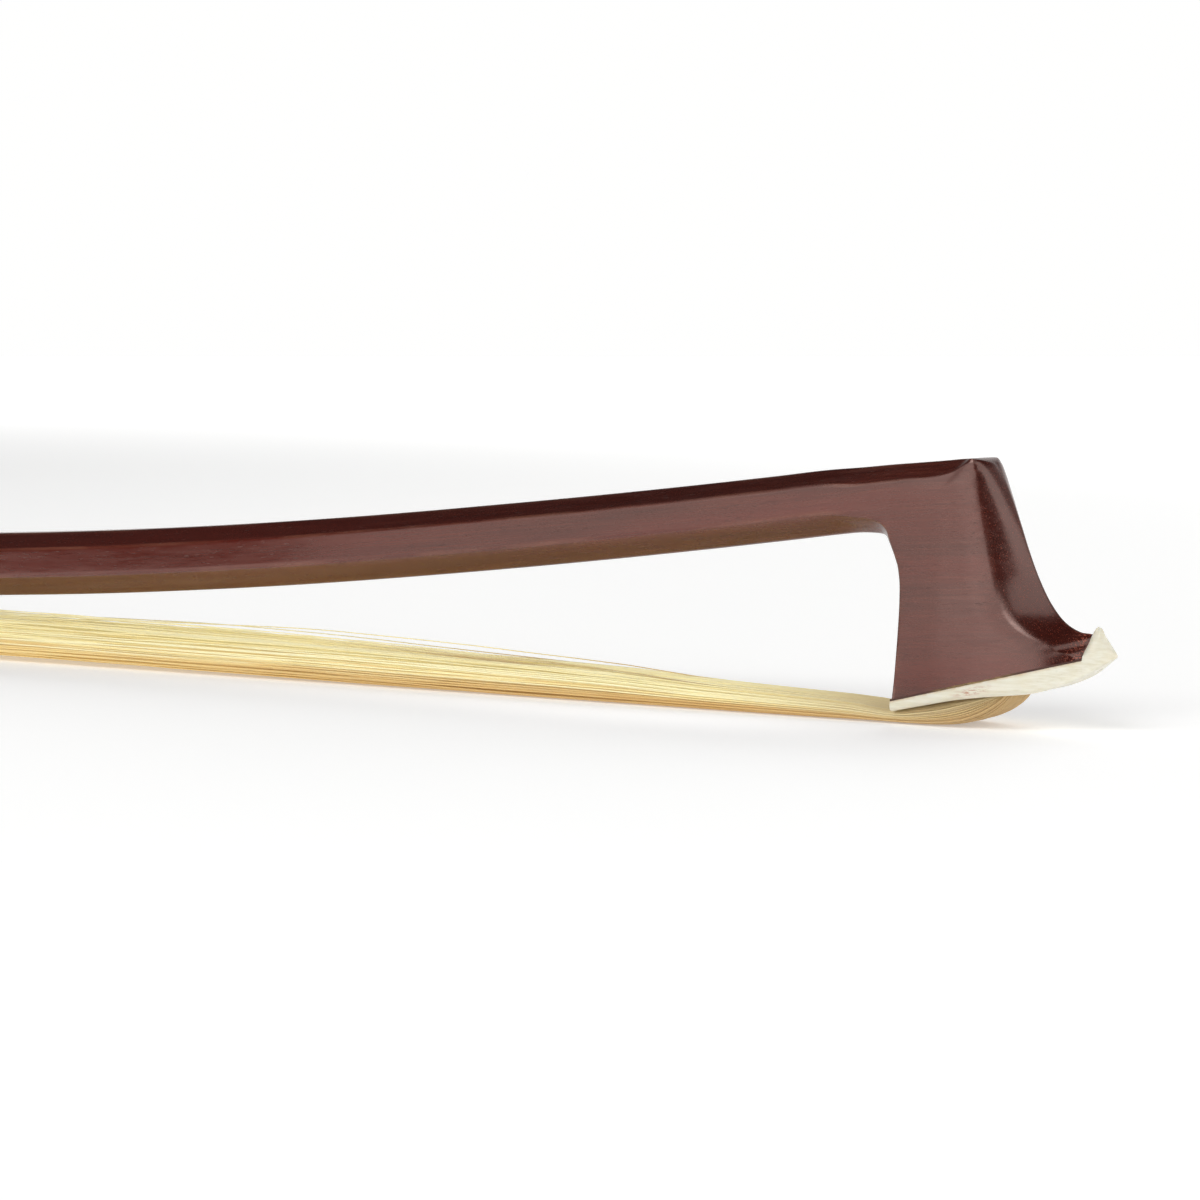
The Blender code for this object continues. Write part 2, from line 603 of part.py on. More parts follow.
for word, sign in (("left", 1), ("right", -1)):
    rings = []
    for r, d in ((EYE_RING_OUT, 5.12), (EYE_RING_OUT, 6.34), (EYE_RING_IN, 6.34),
                 (EYE_RING_IN, 5.12)):
        rings.append([Vector((EYE_A + r * math.cos(2 * math.pi * (i + .5) / 20), sign * d,
                              EYE_B + r * math.sin(2 * math.pi * (i + .5) / 20)))
                      for i in range(20)])
    solid("eye_ring_" + word, rings, silver, frog, closed=True, smooth=30)
    round_bar("pearl_eye_" + word, "y", (EYE_A, 0, EYE_B), EYE_R, sign * 5.12,
              sign * 6.30, sides=20, mat=pearl, parent=frog)

# ---------------------------------------------------------------- eyelet and screw
e = EYELET
eyelet = extrude_y("eyelet", ((e[0], e[3]), (e[1], e[3]), (e[1], e[4]), (e[0], e[4])),
                   e[2], brass, frog)
shank = cutter(round_bar("eyelet_shank_form", "b", ((e[0] + e[1]) / 2, 0, 0),
                         EYELET_SHANK_R, EYELET_SHANK_END, e[3] + .8, sides=12,
                         parent=frog))
thread_hole = cutter(round_bar("eyelet_hole_cut", "a", (0, 0, 0), EYELET_HOLE_R, -12, 10,
                               parent=frog))
combine(eyelet, "UNION", shank)
combine(eyelet, "DIFFERENCE", thread_hole)

rings = [turned(a, r) for a, r in ((SCREW_TIP, .8), (SCREW_TIP - .8, SCREW_R),
                                   (SCREW_END, SCREW_R))]
solid("screw", rings, steel, turning, smooth=30)

under = 4.20
rings = [turned(-36.5, under), turned(-38.92, under), faceted(-38.92, 5.42),
         faceted(-45.08, 5.42), turned(-45.08, under), turned(-49.1, under),
         turned(-49.1, SCREW_R + .2), turned(-36.5, SCREW_R + .2)]
core = solid("button_core", rings, ebony, turning, closed=True)

rings = [faceted(BUTTON_FRONT, BUTTON_FLAT), faceted(-38.75, BUTTON_FLAT),
         turned(-38.75, under + .2), turned(BUTTON_FRONT, under + .2)]
solid("button_ring_front", rings, silver, turning, closed=True)
rings = [faceted(-45.25, BUTTON_FLAT), faceted(BUTTON_END, BUTTON_FLAT),
         turned(BUTTON_END, 3.0), turned(-49.3, 3.0), turned(-49.3, under + .2),
         turned(-45.25, under + .2)]
solid("button_ring_rear", rings, silver, turning, closed=True)
solid("button_eye", [turned(-49.25, 2.8), turned(-49.95, 2.8)], pearl, turning, smooth=30)


# ---------------------------------------------------------------- handle coverings
def sleeve(name, rows, inner, mat):
    """A sleeve round the stick: rows are (s, outer offset)."""
    outside = [octagon_ring(s, grow) for s, grow in rows]
    inside = [octagon_ring(s, inner) for s, _ in reversed(rows)]
    return solid(name, outside + inside, mat, origin=side(rows[0][0],
                 axis_height(rows[0][0])), closed=True, smooth=20)


s0, s1, inner, outer = WINDING
sleeve("winding", [(s0 + (s1 - s0) * i / 6, outer) for i in range(7)], inner, silver)
s0, s1, inner, outer = LEATHER
sleeve("thumb_leather", [(s0, outer - .25), (s0 + 1.2, outer), (s0 + 9, outer),
                         (s1 - 9, outer), (s1 - 1.5, outer), (s1, outer - .25)], inner,
       leather)
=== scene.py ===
import math
import random

import bmesh
import bpy
import numpy as np
from mathutils import Matrix, Vector, noise


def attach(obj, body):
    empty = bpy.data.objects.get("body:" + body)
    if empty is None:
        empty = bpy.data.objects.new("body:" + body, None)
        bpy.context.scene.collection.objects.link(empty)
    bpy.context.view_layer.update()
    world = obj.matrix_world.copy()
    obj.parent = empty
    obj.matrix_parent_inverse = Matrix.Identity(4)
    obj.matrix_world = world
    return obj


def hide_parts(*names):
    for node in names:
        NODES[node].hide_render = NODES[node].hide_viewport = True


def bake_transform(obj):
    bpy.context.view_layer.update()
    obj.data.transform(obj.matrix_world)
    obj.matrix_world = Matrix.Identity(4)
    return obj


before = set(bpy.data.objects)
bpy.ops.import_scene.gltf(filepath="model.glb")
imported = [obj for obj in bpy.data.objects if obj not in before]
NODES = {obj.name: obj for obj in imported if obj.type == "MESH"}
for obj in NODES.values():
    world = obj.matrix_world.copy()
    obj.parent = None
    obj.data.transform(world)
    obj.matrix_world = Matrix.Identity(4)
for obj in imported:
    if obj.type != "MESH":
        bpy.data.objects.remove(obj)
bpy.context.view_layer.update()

MM = 0.001

# =====================================================================
# driving sizes, in millimetres.  +X runs towards the head, +Z is up, and
# s is the distance from the throat towards the handle.
# =====================================================================
THROAT_X, THROAT_Z = 332.867, 24.30
STICK_END = 674.0
CAMBER = ((-40, .138), (0, .138), (20, .124), (45, .1075), (60, .101), (75, .090), (90, .077),
          (105, .0645), (122, .048), (150, .034), (180, .022), (220, .009), (260, 0.0),
          (300, -.008), (340, -.0165), (420, -.031), (500, -.045), (560, -.053),
          (590, -.056), (800, -.056))
TAPER = ((-40, 7.02), (0, 7.02), (12, 7.10), (25, 7.25), (38, 7.40), (52, 7.55), (66, 7.65),
         (81, 7.78), (97, 7.88), (113, 8.00), (130, 8.08), (167, 8.35), (216, 8.70),
         (272, 9.05), (336, 9.40), (410, 9.80), (494, 10.10), (590, 10.40), (800, 10.40))
SEAM_S, SEAM_Z, SEAM_RISE = -0.95, 2.50, 0.25
HANDLE_S = 640.0


def table(rows, s):
    for (s0, v0), (s1, v1) in zip(rows, rows[1:]):
        if s <= s1:
            return v0 + (v1 - v0) * max(0.0, (s - s0) / (s1 - s0))
    return rows[-1][1]


def axis_height(s):
    if s <= 0:
        return THROAT_Z - CAMBER[0][1] * s
    z = THROAT_Z
    for (s0, m0), (s1, m1) in zip(CAMBER[1:], CAMBER[2:]):
        end = min(s, s1)
        if end <= s0:
            break
        m = m0 + (m1 - m0) * (end - s0) / (s1 - s0)
        z -= (m0 + m) / 2 * (end - s0)
    return z


def stick_line(s):
    slope, width = table(CAMBER, s), table(TAPER, s)
    k = width / 2 / math.hypot(1, slope)
    z = axis_height(s)
    return Vector((s - slope * k, z - k)), Vector((s + slope * k, z + k)), width


def at(s, z, y=0.0):
    return Vector((THROAT_X - s, y, z))


TILT = math.atan(-table(CAMBER, HANDLE_S))
HANDLE = at(HANDLE_S, axis_height(HANDLE_S))
COS_T, SIN_T = math.cos(TILT), math.sin(TILT)


def hp(a, y, b):
    """A point of the handle's own frame: a towards the head, b away from the hair."""
    return Vector((HANDLE.x + a * COS_T + b * SIN_T, y, HANDLE.z - a * SIN_T + b * COS_T))


def from_face(p, n):
    t = math.atan(SEAM_RISE)
    return (SEAM_S - (p * math.cos(t) - n * math.sin(t)),
            SEAM_Z + p * math.sin(t) + n * math.cos(t))


def seam_z(s):
    return SEAM_Z + SEAM_RISE * (SEAM_S - s)


# =====================================================================
# mesh helpers
# =====================================================================
def make(name, verts, faces, mats, smooth=True, angle=None):
    """A mesh object from points in millimetres."""
    mesh = bpy.data.meshes.new(name)
    mesh.from_pydata([(p[0] * MM, p[1] * MM, p[2] * MM) for p in verts], [], faces)
    bm = bmesh.new()
    bm.from_mesh(mesh)
    bmesh.ops.recalc_face_normals(bm, faces=bm.faces)
    bm.to_mesh(mesh)
    bm.free()
    obj = bpy.data.objects.new(name, mesh)
    bpy.context.scene.collection.objects.link(obj)
    for m in (mats if isinstance(mats, (list, tuple)) else [mats]):
        if m is not None:
            mesh.materials.append(m)
    if smooth:
        mesh.shade_smooth()
        if angle is not None:
            mesh.set_sharp_from_angle(angle=math.radians(angle))
    return obj


def loft(name, rings, mats, closed=False, smooth=True, angle=None, caps=True):
    count = len(rings[0])
    verts = [p for ring in rings for p in ring]
    faces = []
    pairs = [(i, i + 1) for i in range(len(rings) - 1)]
    if closed:
        pairs.append((len(rings) - 1, 0))
    for a, b in pairs:
        for i in range(count):
            j = (i + 1) % count
            faces.append((a * count + i, a * count + j, b * count + j, b * count + i))
    if caps and not closed:
        faces.append(tuple(range(count)))
        faces.append(tuple(range((len(rings) - 1) * count, len(rings) * count)))
    return make(name, verts, faces, mats, smooth, angle)


def point_attribute(obj, name, values):
    kind = "FLOAT_VECTOR" if len(np.shape(values)) == 2 else "FLOAT"
    mesh = obj.data
    old = mesh.attributes.get(name)
    if old is not None:
        mesh.attributes.remove(old)
    a = mesh.attributes.new(name, kind, "POINT")
    flat = np.asarray(values, np.float32).ravel()
    a.data.foreach_set("vector" if kind == "FLOAT_VECTOR" else "value", flat)


def coords_mm(obj):
    co = np.zeros(len(obj.data.vertices) * 3, np.float32)
    obj.data.vertices.foreach_get("co", co)
    return co.reshape(-1, 3) / MM


def evaluate(obj):
    """Applies the object's modifiers to its mesh."""
    dg = bpy.context.evaluated_depsgraph_get()
    mesh = bpy.data.meshes.new_from_object(obj.evaluated_get(dg),
                                           preserve_all_data_layers=True, depsgraph=dg)
    obj.modifiers.clear()
    old = obj.data
    obj.data = mesh
    bpy.data.meshes.remove(old)
    return obj


def boolean(obj, operation, others):
    for o in others:
        mod = obj.modifiers.new("b", "BOOLEAN")
        mod.operation, mod.solver, mod.object = operation, "EXACT", o
    bpy.context.view_layer.update()
    evaluate(obj)
    for o in others:
        mesh = o.data
        bpy.data.objects.remove(o)
        bpy.data.meshes.remove(mesh)
    return obj


def soften(obj, width, segments=2, angle=32, apply=True, weld=0.0):
    """Rounds an object's edges by width millimetres."""
    if weld:
        w = obj.modifiers.new("weld", "WELD")
        w.merge_threshold = weld * MM
    mod = obj.modifiers.new("bevel", "BEVEL")
    mod.width, mod.segments = width * MM, segments
    mod.limit_method, mod.angle_limit = "ANGLE", math.radians(angle)
    mod.use_clamp_overlap = True
    mod.harden_normals = False
    if apply:
        bpy.context.view_layer.update()
        evaluate(obj)
    return obj


def spline(rows, per):
    """Smooth rows between the given ones: a cubic through each column, with the
    distance between rows' points as its parameter."""
    pts = np.array(rows, float)
    step = np.sqrt(((pts[1:, :4] - pts[:-1, :4]) ** 2).sum(1)) + 1e-6
    t = np.concatenate([[0], np.cumsum(np.sqrt(step))])
    n = len(t)
    m = np.zeros_like(pts)
    for i in range(n):
        if i == 0:
            m[i] = (pts[1] - pts[0]) / (t[1] - t[0])
        elif i == n - 1:
            m[i] = (pts[-1] - pts[-2]) / (t[-1] - t[-2])
        else:
            d0, d1 = t[i] - t[i - 1], t[i + 1] - t[i]
            s0, s1 = (pts[i] - pts[i - 1]) / d0, (pts[i + 1] - pts[i]) / d1
            m[i] = (s0 * d1 + s1 * d0) / (d0 + d1)
    out = []
    for i in range(n - 1):
        h = t[i + 1] - t[i]
        for k in range(per):
            u = k / per
            out.append((2 * u ** 3 - 3 * u ** 2 + 1) * pts[i]
                       + (u ** 3 - 2 * u ** 2 + u) * h * m[i]
                       + (-2 * u ** 3 + 3 * u ** 2) * pts[i + 1]
                       + (u ** 3 - u ** 2) * h * m[i + 1])
    out.append(pts[-1])
    return out


# =====================================================================
# material helpers
# =====================================================================
class Mat:
    """A Principled material with short calls for its nodes."""

    def __init__(self, name, roughness=.5, metallic=0.0, **sockets):
        self.m = bpy.data.materials.new(name)
        self.m.use_nodes = True
        self.t = self.m.node_tree
        self.b = self.t.nodes["Principled BSDF"]
        self.b.inputs["Roughness"].default_value = roughness
        self.b.inputs["Metallic"].default_value = metallic
        for k, v in sockets.items():
            self.b.inputs[k.replace("_", " ")].default_value = v

    def node(self, kind, inputs=None, **props):
        n = self.t.nodes.new(kind)
        for k, v in props.items():
            setattr(n, k, v)
        for k, v in (inputs or {}).items():
            self.put(n.inputs[k], v)
        return n

    def put(self, socket, v):
        if isinstance(v, bpy.types.NodeSocket):
            self.t.links.new(v, socket)
        elif isinstance(v, bpy.types.Node):
            self.t.links.new(v.outputs[0], socket)
        else:
            if hasattr(socket.default_value, "__len__") and not hasattr(v, "__len__"):
                v = [v] * len(socket.default_value)
            if hasattr(v, "__len__") and len(socket.default_value) == 4 and len(v) == 3:
                v = (*v, 1.0)
            socket.default_value = v

    def attr(self, name, vector=True):
        n = self.node("ShaderNodeAttribute", attribute_type="GEOMETRY", attribute_name=name)
        return n.outputs["Vector" if vector else "Fac"]

    def obj_mm(self):
        """Object coordinates in millimetres."""
        c = self.node("ShaderNodeTexCoord").outputs["Object"]
        return self.scale(c, (1000, 1000, 1000))

    def scale(self, v, by):
        return self.node("ShaderNodeVectorMath", {0: v, 1: by}, operation="MULTIPLY").outputs[0]

    def noise(self, v, scale=1.0, detail=3.0, rough=.55, dist=0.0, stretch=None):
        if stretch is not None:
            v = self.scale(v, stretch)
        return self.node("ShaderNodeTexNoise", {"Vector": v, "Scale": scale, "Detail": detail,
                                                "Roughness": rough, "Distortion": dist}).outputs["Fac"]

    def voronoi(self, v, scale=1.0, stretch=None, feature="F1", out="Distance", rand=1.0):
        if stretch is not None:
            v = self.scale(v, stretch)
        return self.node("ShaderNodeTexVoronoi", {"Vector": v, "Scale": scale, "Randomness": rand},
                         feature=feature).outputs[out]

    def ramp(self, fac, stops, mode="LINEAR"):
        n = self.node("ShaderNodeValToRGB", {"Fac": fac})
        e = n.color_ramp.elements
        while len(e) < len(stops):
            e.new(.5)
        for el, (p, c) in zip(e, stops):
            el.position = p
            el.color = (c, c, c, 1) if not hasattr(c, "__len__") else (*c, 1)
        n.color_ramp.interpolation = mode
        return n.outputs["Color"]

    def rng(self, v, a, b, c=0.0, d=1.0, clamp=True, smooth=False):
        n = self.node("ShaderNodeMapRange", {"Value": v, "From Min": a, "From Max": b,
                                             "To Min": c, "To Max": d}, clamp=clamp)
        if smooth:
            n.interpolation_type = "SMOOTHSTEP"
        return n.outputs["Result"]

    def math(self, op, a, b=0.0, c=0.0, clamp=False):
        return self.node("ShaderNodeMath", {0: a, 1: b, 2: c}, operation=op,
                         use_clamp=clamp).outputs[0]

    def mix(self, fac, a, b, mode="MIX"):
        n = self.node("ShaderNodeMix", data_type="RGBA", blend_type=mode)
        self.put(n.inputs[0], fac)
        self.put(n.inputs[6], a)
        self.put(n.inputs[7], b)
        return n.outputs[2]

    def bump(self, height, strength=.5, distance=.05, normal=None):
        i = {"Height": height, "Strength": strength, "Distance": distance * MM}
        if normal is not None:
            i["Normal"] = normal
        return self.node("ShaderNodeBump", i).outputs["Normal"]

    def to(self, **links):
        for k, v in links.items():
            self.put(self.b.inputs[k.replace("_", " ")], v)
        return self.m


def lin(r, g, b):
    """A colour given as it looks on a screen, 0 to 255, as the renderer's values."""
    return tuple(((c / 255 + .055) / 1.055) ** 2.4 if c > 10 else c / 255 / 12.92
                 for c in (r, g, b))


# =====================================================================
# materials
# =====================================================================
def pernambuco_material():
    m = Mat("pernambuco_polished", roughness=.30, Coat_Weight=.18, Coat_Roughness=.16,
            IOR=1.62, Specular_IOR_Level=.85)
    m.b.inputs["Specular Tint"].default_value = (1.0, .68, .60, 1)
    end = m.attr("endgrain", False)
    g = m.attr("grain")                       # millimetres along, across and up the wood
    edge = m.attr("edge", False)
    broad = m.noise(g, 1, 3, .5, stretch=(.013, .16, .22))
    figure = m.noise(g, 1, 4, .6, .3, stretch=(.05, .8, 1.0))
    streak = m.noise(g, 1, 5, .65, stretch=(.075, 3.0, 3.4))
    fibre = m.noise(g, 1, 3, .6, stretch=(.5, 15, 15))
    pores = m.voronoi(g, 1, stretch=(.55, 5.2, 5.2))
    pore = m.rng(pores, .10, .30, 1, 0)
    where = m.rng(m.noise(g, 1, 2, .5, stretch=(.10, 1.3, 1.3)), .42, .62, 0, 1)
    pore = m.math("MULTIPLY", m.math("MULTIPLY", pore, where), m.math("SUBTRACT", 1.0, end))
    dark, mid, light = (.030, .0042, .0030), (.062, .0100, .0064), (.112, .026, .015)
    c = m.ramp(streak, ((.28, dark), (.50, mid), (.76, light)))
    c = m.mix(m.rng(figure, .38, .70, 0, .55), c, (.052, .0095, .0062))
    c = m.mix(m.rng(broad, .45, .66, 0, .62), c, (.116, .0150, .0090))
    place = m.node("ShaderNodeSeparateXYZ", {0: g})
    x, up = place.outputs[0], place.outputs[2]
    c = m.mix(m.rng(x, THROAT_X - 95.0, THROAT_X - 30.0, .45, 0, smooth=True), c,
              (.100, .0135, .0082))
    # painted shade: the upper side of the stick, away from the hair, is darkened in its colour
    back = m.math("MULTIPLY", m.rng(up, 1.95, 2.30, 0, .50),
                  m.rng(x, THROAT_X - 4.0, THROAT_X + 2.0, 1, 0))
    c = m.mix(back, c, (.022, .0028, .0020))
    c = m.mix(m.math("MULTIPLY", m.rng(fibre, .35, .75, 0, 1), .25), c, dark)
    c = m.mix(m.math("MULTIPLY", pore, .65), c, (.012, .003, .002))
    # lighter colour along the facet edges: partly rubbed wear, partly a painted highlight where the rounded edges
    # catch the light
    edge_wear_and_highlight = m.math("MULTIPLY", edge, m.rng(m.noise(g, 1, 4, .6, stretch=(.09, .6, .6)),
                                         .42, .66, 0, 1))
    c = m.mix(m.math("MULTIPLY", edge_wear_and_highlight, .35), c, (.27, .12, .075))
    fleck = m.rng(m.voronoi(g, 1, stretch=(3.1, 3.1, 3.1)), .0, .085, 1, 0)
    fleck = m.math("MULTIPLY", fleck, m.rng(m.noise(g, .9, 1), .5, .62, 0, 1))
    c = m.mix(m.math("MULTIPLY", fleck, .30), c, (.26, .15, .11))
    c = m.mix(m.math("MULTIPLY", end, .68), c, (.027, .0034, .0022))
    # on end grain the cut pores show as dots, some dark and some filled and light
    dots = m.voronoi(g, 1, stretch=(5.6, 7.2, 7.2))
    dot = m.math("MULTIPLY", end, m.rng(dots, .12, .34, 1, 0))
    pick = m.noise(g, 1, 1, .5, stretch=(4.2, 5.1, 5.1))
    c = m.mix(m.math("MULTIPLY", dot, m.rng(pick, .47, .56, 0, .85)), c, (.25, .046, .022))
    c = m.mix(m.math("MULTIPLY", dot, m.rng(pick, .52, .42, 0, .70)), c, (.012, .003, .002))
    rough = m.rng(m.noise(g, 1, 3, .6, stretch=(.25, 1.6, 1.6)), .3, .7, .21, .32)
    rough = m.math("SUBTRACT", rough, m.rng(x, THROAT_X - 95.0, THROAT_X - 30.0, .09, 0))
    rough = m.math("ADD", rough, m.math("MULTIPLY", pore, .25))
    rough = m.math("ADD", rough, m.math("MULTIPLY", dot, .07))
    rough = m.math("SUBTRACT", rough, m.math("MULTIPLY", end, .05))
    # the varnish has chipped off at the tip, where the head meets the beak
    chip = m.math("MULTIPLY", m.rng(x, THROAT_X + 19.6, THROAT_X + 21.6, 0, 1),
                  m.rng(m.noise(g, 1, 3, .75, .3, stretch=(2.6, 3.9, 3.9)), .53, .60, 0, 1))
    c = m.mix(m.math("MULTIPLY", chip, .8), c, (.44, .115, .070))
    rough = m.math("ADD", rough, m.math("MULTIPLY", chip, .25))
    height = m.math("SUBTRACT", m.math("MULTIPLY", m.noise(g, 1, 4, .6, stretch=(.35, 6, 6)), .5),
                    pore)
    height = m.math("ADD", height, m.math("MULTIPLY", fleck, .8))
    grit = m.noise(g, 1, 3, .7, stretch=(5.5, 6.5, 6.5))
    height = m.math("ADD", height, m.math("MULTIPLY", end, m.math("SUBTRACT", grit,
                                                                 m.math("MULTIPLY", dot, .8))))
    swell = m.bump(m.noise(g, 1, 2, .5, stretch=(.12, .7, .7)), .25, .08)
    return m.to(Base_Color=c, Roughness=rough, Normal=m.bump(height, .30, .014, swell))


def plate_material():
    m = Mat("face_plate_ivory", roughness=.34, Subsurface_Weight=.25, Subsurface_Scale=.0012,
            IOR=1.5)
    m.b.inputs["Subsurface Radius"].default_value = (1.0, .8, .55)
    g = m.obj_mm()
    lines = m.noise(g, 1, 3, .6, stretch=(.22, 1.4, 3.6))
    cloud = m.noise(g, .33, 3, .55)
    c = m.ramp(lines, ((.30, lin(215, 209, 187)), (.55, lin(226, 222, 206)), (.8, lin(233, 231, 219))))
    c = m.mix(m.rng(cloud, .45, .75, 0, .35), c, lin(216, 204, 168))
    # a tint of glue and varnish along the seam, and small scuffs low on the side
    seam = m.attr("seam", False)
    c = m.mix(m.math("MULTIPLY", seam, m.rng(m.noise(g, 1.2, 3), .35, .65, .15, .8)), c,
              lin(196, 160, 108))
    scuff = m.attr("scuff", False)
    mark = m.rng(m.noise(g, 1, 3, .7, .4, stretch=(1.1, 2.2, 4.6)), .45, .54, 0, 1)
    c = m.mix(m.math("MULTIPLY", scuff, mark), c, lin(172, 96, 62))
    h = m.math("ADD", m.math("MULTIPLY", lines, .6), m.noise(g, 2.5, 3))
    h = m.math("SUBTRACT", h, m.math("MULTIPLY", scuff, mark))
    return m.to(Base_Color=c, Normal=m.bump(h, .25, .02),
                Roughness=m.rng(m.noise(g, 1.3, 3), .3, .7, .26, .44))


def veneer_material():
    m = Mat("veneer_liner", roughness=.5)
    g = m.obj_mm()
    n = m.noise(g, 1, 4, .6, stretch=(.6, 4, 10))
    x = m.node("ShaderNodeSeparateXYZ", {0: g}).outputs[0]
    # glue has soaked into it and darkened it, but for one stretch
    a = m.rng(x, THROAT_X + 5.0, THROAT_X + 8.0, 0, 1, smooth=True)
    b = m.rng(x, THROAT_X + 13.0, THROAT_X + 16.0, 1, 0, smooth=True)
    k = m.math("MULTIPLY", m.math("MULTIPLY", a, b), m.rng(m.noise(g, .55, 3), .38, .58, .15, 1))
    c = m.ramp(n, ((.3, lin(106, 80, 44)), (.6, lin(150, 122, 72)), (.8, lin(176, 150, 98))))
    c = m.mix(k, m.ramp(n, ((.3, lin(52, 26, 18)), (.7, lin(84, 46, 32)))), c)
    return m.to(Base_Color=c, Normal=m.bump(n, .3, .02))


def hair_material():
    m = Mat("horse_hair_strands", roughness=.40, IOR=1.5, Subsurface_Weight=.12,
            Subsurface_Scale=.0003)
    m.b.inputs["Subsurface Radius"].default_value = (1.0, .80, .50)
    # random number, place along the strand, and place in the bundle from its outer side
    k = m.attr("strand")
    sep = m.node("ShaderNodeSeparateXYZ", {0: k})
    c = m.ramp(sep.outputs[0], ((.0, (.86, .70, .33)), (.12, (.905, .785, .41)),
                                (.5, (.92, .83, .475)), (1.0, (.935, .87, .56))))
    # painted shade: strands on the lower, outer side of the ribbon are a darker gold, most of all near the head
    edge = m.mix(m.rng(sep.outputs[1], .45, 1.6, 0, 1, smooth=True), (.60, .345, .10),
                 (.86, .63, .26))
    c = m.mix(m.rng(sep.outputs[2], .12, .50, .85, 0, smooth=True), c, edge)
    along = m.noise(m.scale(k, (37.0, 9.0, 0.0)), 1, 3, .6)
    c = m.mix(m.rng(along, .45, .75, 0, .22), c, (.90, .74, .36))
    c = m.mix(m.rng(m.noise(m.scale(k, (91.0, 60.0, 0.0)), 1, 2), .62, .80, 0, .18), c,
              (.62, .42, .18))
    # painted shade: the strands of the loop, under the head, are darkened towards brown
    loop = m.rng(sep.outputs[1], .10, .46, 1, 0, smooth=True)
    c = m.mix(m.math("MULTIPLY", loop, m.rng(along, .3, .7, .60, 1)), c, (.47, .32, .150))
    h = m.noise(m.scale(k, (50.0, 900.0, 0.0)), 1, 2)
    # painted light: each strand glows faintly in its own colour, standing in for light passing through it, to fill
    # the shade between the strands
    m.b.inputs["Emission Strength"].default_value = .085
    return m.to(Base_Color=c, Emission_Color=c, Normal=m.bump(h, .15, .006),
                Roughness=m.rng(along, .3, .7, .36, .52))


def packed_hair_material():
    """The inside of the ribbon, where the strands lie close together."""
    m = Mat("horse_hair_packed", roughness=.5, IOR=1.5)
    k = m.attr("lay")                         # millimetres across, along and through the ribbon
    fine = m.noise(k, 1, 3, .6, stretch=(5.5, .02, 5.5))
    broad = m.noise(k, 1, 3, .6, stretch=(.9, .012, .9))
    c = m.ramp(fine, ((.30, (.78, .58, .26)), (.5, (.885, .755, .41)), (.7, (.92, .84, .52))))
    c = m.mix(m.rng(broad, .45, .70, 0, .35), c, (.84, .62, .28))
    sep = m.node("ShaderNodeSeparateXYZ", {0: k})
    x, depth = sep.outputs[1], sep.outputs[2]
    # painted shade: the lower side of the ribbon is a darker gold, most of all near the head
    edge = m.mix(m.rng(x, 45.0, 160.0, 0, 1, smooth=True), (.60, .345, .10), (.86, .63, .26))
    c = m.mix(m.rng(depth, .0, 1.0, .6, 0, smooth=True), c, edge)
    # painted shade: the loop under the head is darkened towards brown
    c = m.mix(m.rng(x, 10.0, 42.0, .85, 0, smooth=True), c, (.47, .32, .150))
    # painted light: the packed hair glows faintly in its own colour, to fill the shade between the strands
    m.b.inputs["Emission Strength"].default_value = .085
    return m.to(Base_Color=c, Emission_Color=c, Normal=m.bump(fine, .8, .12),
                Roughness=m.rng(fine, .3, .7, .42, .58))


def ebony_material(name="ebony_polished"):
    m = Mat(name, roughness=.26, Coat_Weight=.15, Coat_Roughness=.12)
    g = m.obj_mm()
    s = m.noise(g, 1, 5, .6, .2, stretch=(.10, 2.0, 2.2))
    f = m.noise(g, 1, 3, .6, stretch=(.7, 13, 13))
    pore = m.rng(m.voronoi(g, 1, stretch=(.6, 5.5, 5.5)), .08, .24, 1, 0)
    c = m.ramp(s, ((.30, (.0075, .0065, .0062)), (.55, (.017, .0145, .013)),
                   (.78, (.036, .026, .020))))
    c = m.mix(m.math("MULTIPLY", f, .3), c, (.006, .005, .005))
    rough = m.math("ADD", m.rng(m.noise(g, .35, 4), .3, .7, .20, .36), m.math("MULTIPLY", pore, .2))
    h = m.math("SUBTRACT", m.math("MULTIPLY", f, .4), pore)
    return m.to(Base_Color=c, Roughness=rough, Normal=m.bump(h, .22, .015))


def silver_material(name="silver_fittings", warm=0.0, brushed=(.25, 9, 9)):
    m = Mat(name, roughness=.24, metallic=1.0)
    g = m.obj_mm()
    brush = m.noise(g, 1, 4, .65, stretch=brushed)
    cloud = m.noise(g, .45, 4, .6, .3)
    c = m.ramp(cloud, ((.30, (.80, .79, .76)), (.58, (.66, .645, .61)), (.80, (.40, .37, .32))))
    if warm:
        c = m.mix(warm, c, (.78, .57, .24))
    scratch = m.rng(m.noise(g, 1, 2, .5, stretch=(1.2, 4, 14)), .62, .70, 0, 1)
    rough = m.math("ADD", m.rng(cloud, .35, .75, .17, .40), m.math("MULTIPLY", scratch, .12))
    h = m.math("ADD", brush, m.math("MULTIPLY", scratch, -.8))
    return m.to(Base_Color=c, Roughness=rough, Normal=m.bump(h, .18, .01))


